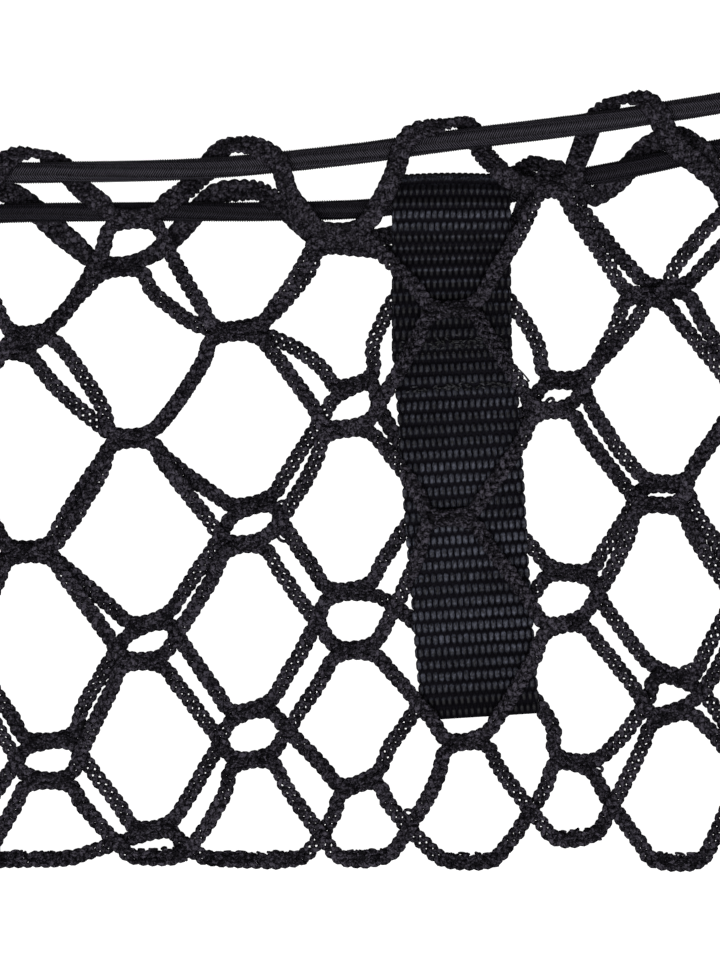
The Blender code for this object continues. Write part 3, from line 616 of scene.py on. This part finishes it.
def braid_material(name, dark, light, bands, slant, rough, spec):
    """Braided cover: fine strokes in chevrons, which turn slowly round the cord."""
    material, tree, shader = blank(name)
    uv = node(tree, "ShaderNodeUVMap", uv_map="yarn")
    split = node(tree, "ShaderNodeSeparateXYZ")
    tree.links.new(uv.outputs[0], split.inputs[0])
    u, v = split.outputs[0], split.outputs[1]
    where = node(tree, "ShaderNodeTexCoord")
    sway = node(tree, "ShaderNodeTexNoise", noise_dimensions="3D")
    sway.inputs["Scale"].default_value = 55.0
    sway.inputs["Detail"].default_value = 1.0
    tree.links.new(where.outputs["Object"], sway.inputs["Vector"])
    turned = maths(tree, "ADD", maths(tree, "MULTIPLY", u, bands), maths(tree, "MULTIPLY", v, 0.011))
    turned = maths(tree, "ADD", turned, maths(tree, "MULTIPLY", sway.outputs["Fac"], 0.25))
    fold = maths(tree, "PINGPONG", turned, 0.5)
    stroke = maths(tree, "ADD", maths(tree, "DIVIDE", v, BRAID_PITCH), maths(tree, "MULTIPLY", fold, 2 * slant))
    ridge = maths(tree, "POWER", maths(tree, "ABSOLUTE", maths(tree, "SINE", maths(tree, "MULTIPLY", stroke, math.pi))), 3.8)
    # Each stroke sinks under its neighbour where the chevron turns, and is painted dark there: painted shade. Each
    # stroke is also painted light along its ridge and dark between ridges, the same values giving its relief.
    crown = maths(tree, "SINE", maths(tree, "MULTIPLY", fold, 2 * math.pi))
    wear = node(tree, "ShaderNodeTexNoise", noise_dimensions="3D")
    wear.inputs["Scale"].default_value = 2600.0
    wear.inputs["Detail"].default_value = 2.0
    tree.links.new(where.outputs["Object"], wear.inputs["Vector"])
    level = maths(tree, "MULTIPLY", ridge, maths(tree, "MULTIPLY_ADD", crown, 0.60, 0.42))
    level = maths(tree, "ADD", level, maths(tree, "MULTIPLY_ADD", wear.outputs["Fac"], 0.9, -0.45))
    middle = tuple((a + b) / 2 for a, b in zip(dark, light))
    tree.links.new(ramp(tree, level, ((0.05, dark), (0.50, middle), (0.95, light))), shader.inputs["Base Color"])
    relief = node(tree, "ShaderNodeBump")
    relief.inputs["Strength"].default_value = 0.55
    relief.inputs["Distance"].default_value = 0.00010
    tree.links.new(level, relief.inputs["Height"])
    tree.links.new(relief.outputs[0], shader.inputs["Normal"])
    shader.inputs["Roughness"].default_value = rough
    shader.inputs["Specular IOR Level"].default_value = spec
    return material


NET_FRONT = yarn_material("net_front_yarn", (0.0026, 0.0022, 0.0034), (0.062, 0.056, 0.073), 2, 0.55, 4.6, 0.62, 0.08, 2.5, 1.0)
# The back layer's yarn is a slightly darker copy of the front layer's: painted shade for the layer underneath.
NET_BACK = yarn_material("net_back_yarn", (0.0024, 0.0020, 0.0032), (0.055, 0.050, 0.065), 2, 0.55, 4.6, 0.64, 0.08, 2.5, 1.0)
BRAID_FRONT = braid_material("elastic_front_braid", (0.0010, 0.0009, 0.0014), (0.072, 0.067, 0.084), 4, 2.2, 0.55, 0.05)
# The back cord's braid is a copy of the front one's painted about half as light: painted shade.
BRAID_BACK = braid_material("elastic_back_braid", (0.0007, 0.0006, 0.0010), (0.036, 0.033, 0.043), 4, 2.2, 0.56, 0.04)
WARP = yarn_material("webbing_warp", (0.0026, 0.0022, 0.0037), (0.070, 0.074, 0.100), 1, 0.06, 7.0, 0.50, 0.14, 0.5, 0.35)
THREAD = yarn_material("sewing_thread", (0.003, 0.003, 0.004), (0.05, 0.05, 0.06), 2, 1.4, 2.0, 0.55, 0.2, 0.4, 0.5)


# ---------------------------------------------------------------- netting

def plait(tubes, rows, yarns, seed, tight_rows):
    """A strand: a flat plait along its rows of x, y, z, width and roll."""
    line, at = evenly([tuple(row[:5]) + (t,) for row, t in zip(rows, tight_rows)], YARN_STEP)
    points = line[:, :3]
    run = along(points)
    side = unit(np.cross(np.array([0, 0, 1.0]), run))
    up = np.cross(run, side)
    # The knitting isn't even: a strand rolls a little, and its yarns open and close.
    roll = np.radians(line[:, 4] + 24 * waves(at, 17.0, seed + 3) * (1 - line[:, 5]))[:, None]
    side, up = side * np.cos(roll) + up * np.sin(roll), up * np.cos(roll) - side * np.sin(roll)
    tight = line[:, 5]
    pitch = LOBE_PITCH * yarns
    open_ = waves(at, 11.0, seed)
    wander = waves(at, 3.1, seed + 1) * 0.10
    phase = at * 2 * math.pi / pitch + seed * 1.7 + waves(at, 6.0, seed + 2) * 0.30
    fit = 1.10 if yarns > 3 else 1.0
    width = YARN_WIDTH * fit * (1 + 0.13 * open_ + 0.06 * waves(at, 2.4, seed + 7) + 0.16 * tight)
    reach = (line[:, 3] - width) / 2 + 0.12
    deep = 1.20 if yarns > 3 else 1.0
    for k in range(yarns):
        turn = phase + 2 * math.pi * k / yarns
        puff = 1 + 0.10 * waves(at, 1.9, seed + 11 + k)
        across = reach * np.sin(turn) * (1 + 0.05 * np.sin(turn) ** 2) + wander
        over = YARN_LIFT * deep * np.sin(turn * (yarns - 1)) * (1 - 0.12 * tight) + 0.07 * waves(at, 2.3, seed + 5 + k)
        centre = points + side * across[:, None] + up * over[:, None]
        # Painted highlight and shade: each stroke is painted lightest on its crown and dark where it dives, and the
        # five-yarn top strands are painted a little darker.
        crown = np.abs(np.sin(turn * (yarns - 1)))
        lit = (0.68 + 0.37 * crown) * (1 + 0.22 * waves(at, 1.4, seed + 61 + k)) * (0.90 if yarns > 3 else 0.98)
        tubes.add(
            centre, up, width / 2 * puff, YARN_THICK / 2 * deep * (1 + 0.08 * tight), tint=waves(at, 5.0, seed + 31 + k), lit=lit
        )


def eyelets(tubes, rows, lines):
    """Small open loops of yarn along the edges of the netting, half sunk into the nearest strand."""
    lines = np.array(lines, float)
    for x, y, size, turn in rows:
        near = lines[np.argmin(np.hypot(lines[:, 0] - x, lines[:, 1] - y))]
        away = unit(np.array([x - near[0], y - near[1]])) * (near[3] / 2 + 0.05 * size)
        x, y, z = near[0] + away[0], near[1] + away[1], near[2]
        angle = np.linspace(0.0, 2 * math.pi, 15)
        lean = math.radians(turn)
        a = size * np.cos(angle)
        b = size * 0.62 * np.sin(angle)
        centre = np.stack(
            [x + a * math.cos(lean) - b * math.sin(lean), y + a * math.sin(lean) + b * math.cos(lean), z + 0.12 * np.sin(2 * angle)],
            axis=1,
        )
        tubes.add(centre, np.tile([0, 0, 1.0], (15, 1)), 0.36, 0.34, tint=0.1, lit=0.8)


def joint_strokes(tubes, joint, z, seed):
    """The yarns that knit a joint's two strands together: short strokes each way, over both faces."""
    rng = np.random.default_rng(seed)
    left, right = ends_of(joint)
    axis = np.array(right - left, float)
    long = float(np.linalg.norm(axis))
    axis /= long
    across = np.array([-axis[1], axis[0], 0])
    t = np.linspace(-1, 1, 5)
    for face, count in ((1, int(4.6 * long)), (-1, int(1.6 * long))):
        for _ in range(count):
            off = rng.uniform(-1.35, 1.35)
            middle = np.array(left, float) + axis * rng.uniform(-0.6, long + 0.6) + across * off
            lean = rng.uniform(-1.3, 1.3) * (1 - abs(off) / 1.7)
            half = rng.uniform(0.50, 0.95)
            run = axis * math.cos(lean) + across * math.sin(lean)
            bow = rng.uniform(-0.25, 0.25)
            side = axis * -math.sin(lean) + across * math.cos(lean)
            centre = middle + run * (t * half)[:, None] + side * (bow * (1 - t * t))[:, None]
            centre[:, 2] = z + face * (rng.uniform(0.78, 1.02) - 0.42 * t**4)
            tubes.add(centre, np.tile([0, 0, 1.0], (5, 1)), 0.29, 0.24, tint=rng.uniform(-1, 1), lit=rng.uniform(0.25, 1.25))


def netting(name, material, joints, top, lifts, legs, level, over_tab, strands, seed, loops):
    table = {(joint.column, joint.row): joint for joint in joints}
    tubes = Tubes(6)
    rows = smooth(top, 0.8)
    lines = [row[:4] for row in rows]
    plait(tubes, rows, 5, seed, [0.85] * len(rows))
    for strand in range(1, strands):
        odd = strand % 2
        last = strand == strands - 1
        bends = strand_bends(table, strand, lifts, legs, level - 0.04 * odd, over_tab, last)
        rows = smooth(bends, 0.8)
        lines += [row[:4] for row in rows]
        # Tight where the strand is knitted to its neighbour, at a joint's bends.
        tight = []
        for row in rows:
            near = min(
                math.hypot(row[0] - joint.x, row[1] - joint.y) - joint.length / 2 for joint in joints
            )
            tight.append(1 - smoothstep(near, 0.0, 3.2))
        plait(tubes, rows, 3, seed + 50 * strand, tight)
    eyelets(tubes, loops, lines)
    strokes = Tubes(6)
    for n, joint in enumerate(joints):
        lift = lifts.get((joint.column, joint.row), 0)
        joint_strokes(strokes, joint, level + lift + (rise_over_tab(joint.x, joint.y) if over_tab else 0), seed * 1000 + n * 7)
    return tubes.make(name + "_knit", material), strokes.make(name + "_joints", material)


# Eyelets: where, how big and how far turned.
Eyelet = namedtuple("Eyelet", "x y size turn")
FRONT_EYELETS = (
    Eyelet(-66.6, -12.2, 1.00, -10), Eyelet(-20.3, -2.7, 1.10, 40),
    Eyelet(39.6, 16.2, 0.90, 40), Eyelet(46.8, 56.8, 0.90, -50),
    Eyelet(65.6, 0.8, 0.95, 12), Eyelet(2.4, -64.6, 1.05, -20),
)
BACK_EYELETS = (
    Eyelet(-21.1, -14.9, 1.05, -35), Eyelet(67.8, -39.2, 0.85, 20),
    Eyelet(69.1, -38.7, 0.80, 20), Eyelet(49.3, -60.6, 0.85, -20),
)

net_front, joints_front = netting(
    "net_front", NET_FRONT, FRONT_JOINTS, FRONT_TOP, FRONT_LIFTS, {}, FRONT_LEVEL, True, 7, 3, FRONT_EYELETS
)
net_back, joints_back = netting(
    "net_back", NET_BACK, BACK_JOINTS, BACK_TOP, BACK_LIFTS, BACK_LEGS, BACK_LEVEL, False, 8, 7, BACK_EYELETS
)


# ---------------------------------------------------------------- elastic cords

def braided(name, route, diameter, material, seed):
    """The cord's cover: a round tube with the small steps of the braid along its edges."""
    rows, at = evenly(smooth([tuple(s) for s in route], 1.0), BRAID_PITCH / 4)
    points = rows[:, :3]
    sides = 20
    turn = np.arange(sides) / sides
    bulge = 0.095 * np.cos((at[:, None] / BRAID_PITCH + 2 * turn[None, :]) * 2 * math.pi)
    bulge = bulge * (1 + 0.5 * waves(at, 1.7, seed + 9))[:, None]
    tubes = Tubes(sides)
    up = np.tile([0, 0, 1.0], (len(points), 1))
    wobble = 1.03 + 0.008 * waves(at, 2.0, seed)
    tubes.add(points, up, diameter / 2 * wobble, diameter / 2 * wobble, tint=0.4 * waves(at, 8.0, seed), bulge=bulge)
    return tubes.make(name, material), in_row(points)


def knots(name, route, diameter, material):
    """An overhand knot near each end of a cord."""
    tubes = Tubes(14)
    for a, b in (route[:2], route[:-3:-1]):
        start, inner = np.array(a, float), np.array(b, float)
        axis = unit(inner - start)
        middle = start + axis * KNOT_TAIL
        lean = math.atan2(axis[1], axis[0])
        t = np.linspace(0, 2 * math.pi, 120)
        x = 1.30 * (np.sin(t) + 2 * np.sin(2 * t))
        y = 1.12 * (np.cos(t) - 2 * np.cos(2 * t))
        z = -1.95 * np.sin(3 * t)
        centre = np.stack(
            [
                middle[0] + x * math.cos(lean) - y * math.sin(lean),
                middle[1] + x * math.sin(lean) + y * math.cos(lean),
                KNOT_SIZE[2] / 2 + z,
            ],
            axis=1,
        )
        at = np.concatenate([[0], np.cumsum(np.linalg.norm(np.diff(centre, axis=0), axis=1))])
        bulge = 0.04 * np.cos((at[:, None] / BRAID_PITCH + 2 * np.arange(14)[None, :] / 14) * 2 * math.pi)
        tubes.add(centre, np.tile([0, 0, 1.0], (120, 1)), diameter / 2 * 0.94, diameter / 2 * 0.94, bulge=bulge)
    return tubes.make(name, material)


elastic_front, front_line = braided("elastic_front_cord", FRONT_CORD_ROUTE, FRONT_CORD, BRAID_FRONT, 5)
elastic_back, back_line = braided("elastic_back_cord", BACK_CORD_ROUTE, BACK_CORD, BRAID_BACK, 6)
knots_front = knots("elastic_front_knots", FRONT_CORD_ROUTE, FRONT_CORD, BRAID_FRONT)
knots_back = knots("elastic_back_knots", BACK_CORD_ROUTE, BACK_CORD, BRAID_BACK)


# ---------------------------------------------------------------- webbing tab

def tab_side():
    """The strap's side view, y and z, as in CAD."""
    radius = BACK_CORD / 2 + TAB_GAP + TAB_THICK / 2
    upper = TAB_LEVEL + TAB_THICK + TURNED_GAP
    side = [(STRAP_END_Y + 0.3, TAB_LEVEL - 0.75), (STRAP_END_Y + 1.6, TAB_LEVEL - 0.32)]
    side += [(y, TAB_LEVEL) for y in (STRAP_END_Y + 4.2, -34.0, -17.0, 0.0, 17.0, 30.0)]
    for step in range(7):
        angle = math.pi * step / 8
        side.append((TAB_FOLD_Y + radius * math.sin(angle), TAB_FOLD_Z - radius * math.cos(angle)))
    side += [(row.y, upper + row.z) for row in TAB_BULGE]
    side += [(32.0, upper), (TURNED_END_Y + 1.5, upper), (TURNED_END_Y, upper - 0.3)]
    return side


SIDE, SIDE_AT = evenly(
    [(y, z, 0.0) for y, z, _, in smooth([(y, z, 0.0) for y, z in tab_side()], 0.5)], FLOAT_ROW / FLOAT_STEPS
)
SIDE_RUN = along(SIDE)
SEWN = (28.5, 19.6)      # y of the two rows of stitches across the tab

# How the light catches the floats down the tab: y, how light they are, and how
# much of that is at their upper (1) or lower (-1) ends only.
Shade = namedtuple("Shade", "y level lean")
TURNED_SHADE = (
    Shade(66.0, 1.05, 0.0), Shade(61.4, 0.95, 0.0), Shade(59.8, 0.90, -1.0), Shade(57.0, 0.95, -0.8),
    Shade(55.2, 1.00, 0.0), Shade(53.0, 0.98, 0.1), Shade(50.5, 1.00, 0.6), Shade(46.0, 1.18, 1.0),
    Shade(39.0, 1.18, 1.0), Shade(35.5, 0.98, 0.6), Shade(31.0, 0.80, 0.3), Shade(27.0, 0.75, 0.0),
)
LONG_SHADE = (
    Shade(27.0, 0.65, 0.0), Shade(21.0, 0.72, 0.0), Shade(17.5, 0.82, 0.0), Shade(8.0, 0.88, 0.0),
    Shade(-6.0, 1.00, 0.0), Shade(-42.0, 1.00, 0.0), Shade(-44.5, 0.80, 0.6), Shade(-46.5, 0.45, 0.5),
    Shade(-51.0, 0.30, 0.0),
)


def shade(rows, y, field):
    rows = sorted(rows)
    return np.interp(y, [row.y for row in rows], [getattr(row, field) for row in rows])


def on_tab(across, above):
    """Points along the tab, so far across it (-1 to 1) and above its middle surface (mm)."""
    y, z = SIDE[:, 0], SIDE[:, 1]
    middle = np.array([between(STRAP_EDGES, v, "x") for v in y])
    half = np.array([between(STRAP_EDGES, v, "width") for v in y]) / 2
    # The rows climb a little to the right, more so towards the lower end.
    slant = np.radians(np.interp(y, [-50, 8, 40, 60], [3.6, 3.2, 1.6, 0.0]))
    out = np.stack([-SIDE_RUN[:, 1], SIDE_RUN[:, 0]], axis=1)
    crest = 0.5 * (1 - across**2) * np.interp(y, [56.0, 61.0], [0.0, 1.0])
    return np.stack(
        [middle + half * across, y + out[:, 0] * above + half * across * np.sin(slant) + crest, z + out[:, 1] * above],
        axis=1,
    )


def webbing():
    tubes = Tubes(6)
    y = SIDE[:, 0]
    out = np.stack([np.zeros(len(y)), -SIDE_RUN[:, 1], SIDE_RUN[:, 0]], axis=1)
    pressed = sum(np.exp(-(((y - sewn) / 0.75) ** 2)) for sewn in SEWN)
    turned = SIDE_AT > SIDE_AT[np.argmax(y)]
    level = np.where(turned, shade(TURNED_SHADE, y, "level"), shade(LONG_SHADE, y, "level"))
    lean = np.where(turned, shade(TURNED_SHADE, y, "lean"), shade(LONG_SHADE, y, "lean"))
    for i in range(WARP_YARNS):
        share = (i - (WARP_YARNS - 1) / 2) / (WARP_YARNS / 2)
        phase = math.pi * (np.arange(len(y)) / FLOAT_STEPS + (i % 2))
        wave = np.sin(phase)
        # Flat-topped floats that dive steeply between the rows.
        crown = np.clip((np.abs(wave) - 0.12) / 0.56, 0, 1)
        crown = crown * crown * (3 - 2 * crown)
        lift = WARP_LIFT * np.sign(wave) * crown
        # Drawn flat at the two edges and where the strap folds.
        edge = (1.0 if 1 < i < WARP_YARNS - 2 else 0.6) * np.interp(y, [59.0, 61.5], [1.0, 0.25])
        centre = on_tab(share, lift * (1 - 0.5 * pressed) * edge - 0.25 * pressed * np.sign(SIDE_RUN[:, 0]))
        centre[:, 0] += 0.03 * waves(SIDE_AT, 3.0, 400 + i)
        width = 0.18 + 0.38 * crown
        thick = WARP_THICK / 2 * (0.35 + 0.65 * crown)
        tint = 0.5 * waves(SIDE_AT, FLOAT_ROW, 300 + i) + 0.25 * waves(SIDE_AT, 12.0, 700 + i)
        # Painted light and shade: each float is painted light on its crown and dark where it dives, by the level and
        # lean of the shade tables, and painted darker in the pressed rows of stitches.
        place = np.cos(np.mod(phase, math.pi)) * np.where(turned, 1, -1)
        leaned = 1 - np.abs(lean) * np.clip(1.05 - 1.3 * np.sign(lean) * place, 0, 1)
        lit = crown * level * leaned * (1 - 0.35 * np.clip(pressed, 0, 1))
        tubes.add(centre, out, width, thick, tint=tint, lit=lit, square=0.72)
    return tubes.make("webbing_tab_warp", WARP)


def tab_core():
    """The weft inside the webbing: a thin closed sheet that the warp covers."""
    cross = np.linspace(-0.985, 0.985, 9)
    top = np.stack([on_tab(c, 0.10) for c in cross], axis=1)
    low = np.stack([on_tab(c, -0.10) for c in cross], axis=1)
    n, k = top.shape[:2]
    points = in_row(np.concatenate([top.reshape(-1, 3), low.reshape(-1, 3)]))
    grid = np.arange(n * k).reshape(n, k)
    a, b, c, d = grid[:-1, :-1], grid[:-1, 1:], grid[1:, 1:], grid[1:, :-1]
    upper = np.stack([a, b, c, d], -1).reshape(-1, 4)
    lower = np.stack([a, d, c, b], -1).reshape(-1, 4) + n * k
    rim = np.concatenate([grid[0], grid[1:, -1], grid[-1, -2::-1], grid[-2:0:-1, 0]])
    after = np.roll(rim, -1)
    wall = np.stack([after, rim, rim + n * k, after + n * k], -1)
    faces = np.concatenate([upper, lower, wall])
    mesh = bpy.data.meshes.new("webbing_tab_weft")
    mesh.from_pydata(points.tolist(), [], faces.tolist())
    mesh.polygons.foreach_set("use_smooth", np.ones(len(faces), bool))
    mesh.update()
    mesh.materials.append(WEFT)
    made = bpy.data.objects.new("webbing_tab_weft", mesh)
    bpy.context.scene.collection.objects.link(made)
    return made


def weft_material():
    material, tree, shader = blank("webbing_weft")
    where = node(tree, "ShaderNodeTexCoord")
    rows = node(tree, "ShaderNodeTexWave", wave_type="BANDS", bands_direction="Y")
    rows.inputs["Scale"].default_value = 120.0
    rows.inputs["Distortion"].default_value = 1.0
    tree.links.new(where.outputs["Object"], rows.inputs["Vector"])
    # Painted shade: the weft is coloured near the warp's darkest tone, for the shade down in the gaps between the rows
    # of floats.
    tree.links.new(
        ramp(tree, rows.outputs["Fac"], ((0.0, (0.0018, 0.0015, 0.0026)), (0.5, (0.0032, 0.0027, 0.0046)), (1.0, (0.0052, 0.0046, 0.0072)))),
        shader.inputs["Base Color"],
    )
    relief = node(tree, "ShaderNodeBump")
    relief.inputs["Strength"].default_value = 0.5
    relief.inputs["Distance"].default_value = 0.0001
    tree.links.new(rows.outputs["Fac"], relief.inputs["Height"])
    tree.links.new(relief.outputs[0], shader.inputs["Normal"])
    shader.inputs["Roughness"].default_value = 0.9
    shader.inputs["Specular IOR Level"].default_value = 0.05
    return material


WEFT = weft_material()
tab_warp = webbing()
tab_weft = tab_core()


def stitches():
    """Two rough rows of sewing across the tab, and a loose end of thread."""
    tubes = Tubes(6)
    rng = np.random.default_rng(83)
    upper = TAB_LEVEL + TAB_THICK + TURNED_GAP
    t = np.linspace(-1, 1, 5)
    for sewn, z, deep, count in ((SEWN[0] + 0.5, upper + 0.50, 1.3, 90), (SEWN[1], TAB_LEVEL + 0.50, 0.8, 70)):
        middle, width = between(STRAP_EDGES, sewn, "x"), between(STRAP_EDGES, sewn, "width")
        for _ in range(count):
            x = middle + width * rng.uniform(-0.44, 0.46)
            y = sewn + 0.05 * (x - middle) + deep * rng.uniform(-1, 1)
            lean, half = rng.uniform(-0.7, 0.7), rng.uniform(0.35, 0.75)
            centre = np.stack(
                [x + half * math.cos(lean) * t, y + half * math.sin(lean) * t, z + rng.uniform(-0.12, 0.05) - 0.35 * t**4], axis=1
            )
            tubes.add(centre, np.tile([0, 0, 1.0], (5, 1)), 0.20, 0.16, tint=rng.uniform(-1, 1), lit=rng.uniform(0.3, 1.1))
    t = np.linspace(0, 1, 14)
    x = 32.2 + 3.0 * t
    y = 23.8 - 3.1 * t + 0.35 * np.sin(t * 3.1)
    z = 3.6 + 0.5 * np.sin(t * 3.0)
    tubes.add(np.stack([x, y, z], axis=1), np.tile([0, 0, 1.0], (14, 1)), 0.16 + 0.10 * t**6, 0.16 + 0.10 * t**6, tint=0.2)
    return tubes.make("webbing_tab_sewing", THREAD)


tab_sewing = stitches()


# ---------------------------------------------------------------- each piece on the root body, in place of its CAD part

for piece, cad_node, slot in (
    (net_front, "net_front", "net_front_yarn"),
    (net_back, "net_back", "net_back_yarn"),
    (elastic_front, "elastic_front", "elastic_front_braid"),
    (elastic_back, "elastic_back", "elastic_back_braid"),
    (tab_weft, "webbing_tab", "webbing"),
    (joints_front, None, "net_front_yarn"),
    (joints_back, None, "net_back_yarn"),
    (knots_front, None, "elastic_front_braid"),
    (knots_back, None, "elastic_back_braid"),
    (tab_warp, None, "webbing"),
    (tab_sewing, None, "webbing"),
):
    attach(piece, "root")
    if cad_node:
        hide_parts(cad_node)


# ---------------------------------------------------------------- stage

def floor():
    mesh = bpy.data.meshes.new("floor")
    half = 1.5
    mesh.from_pydata([(-half, -half, 0), (half, -half, 0), (half, half, 0), (-half, half, 0)], [], [(0, 1, 2, 3)])
    material, tree, shader = blank("floor_pale")
    shader.inputs["Base Color"].default_value = (0.22, 0.22, 0.22, 1)
    shader.inputs["Roughness"].default_value = 0.9
    shader.inputs["Specular IOR Level"].default_value = 0.0
    shader.inputs["Emission Color"].default_value = (1, 1, 1, 1)
    shader.inputs["Emission Strength"].default_value = 1.0
    mesh.materials.append(material)
    made = bpy.data.objects.new("floor", mesh)
    made.location = (0, 0, -0.0004)
    made.visible_diffuse = made.visible_glossy = False
    bpy.context.scene.collection.objects.link(made)


def lamp(name, place, size, watts):
    data = bpy.data.lights.new(name, "AREA")
    data.shape, data.size, data.energy = "DISK", size, watts
    made = bpy.data.objects.new(name, data)
    made.location = place
    made.rotation_euler = (Vector((0.006, -0.003, 0)) - Vector(place)).to_track_quat("-Z", "Y").to_euler()
    bpy.context.scene.collection.objects.link(made)


floor()
lamp("key", (-0.07, -0.34, 1.42), 1.10, 22)
lamp("fill", (0.75, -0.45, 1.1), 0.7, 1.5)

world = bpy.data.worlds.new("studio")
world.use_nodes = True
world.node_tree.nodes["Background"].inputs[0].default_value = (1, 1, 1, 1)
world.node_tree.nodes["Background"].inputs[1].default_value = 0.11
bpy.context.scene.world = world
bpy.context.scene.view_settings.view_transform = "Standard"

camera_data = bpy.data.cameras.new("camera")
camera_data.lens = 200
camera_data.sensor_width = 36
camera_data.clip_start = 0.05
camera = bpy.data.objects.new("camera", camera_data)
camera.location = (0.00558, -0.00310, 960 * 0.000208 * 200 / 36 + 0.004)
bpy.context.scene.collection.objects.link(camera)
bpy.context.scene.camera = camera
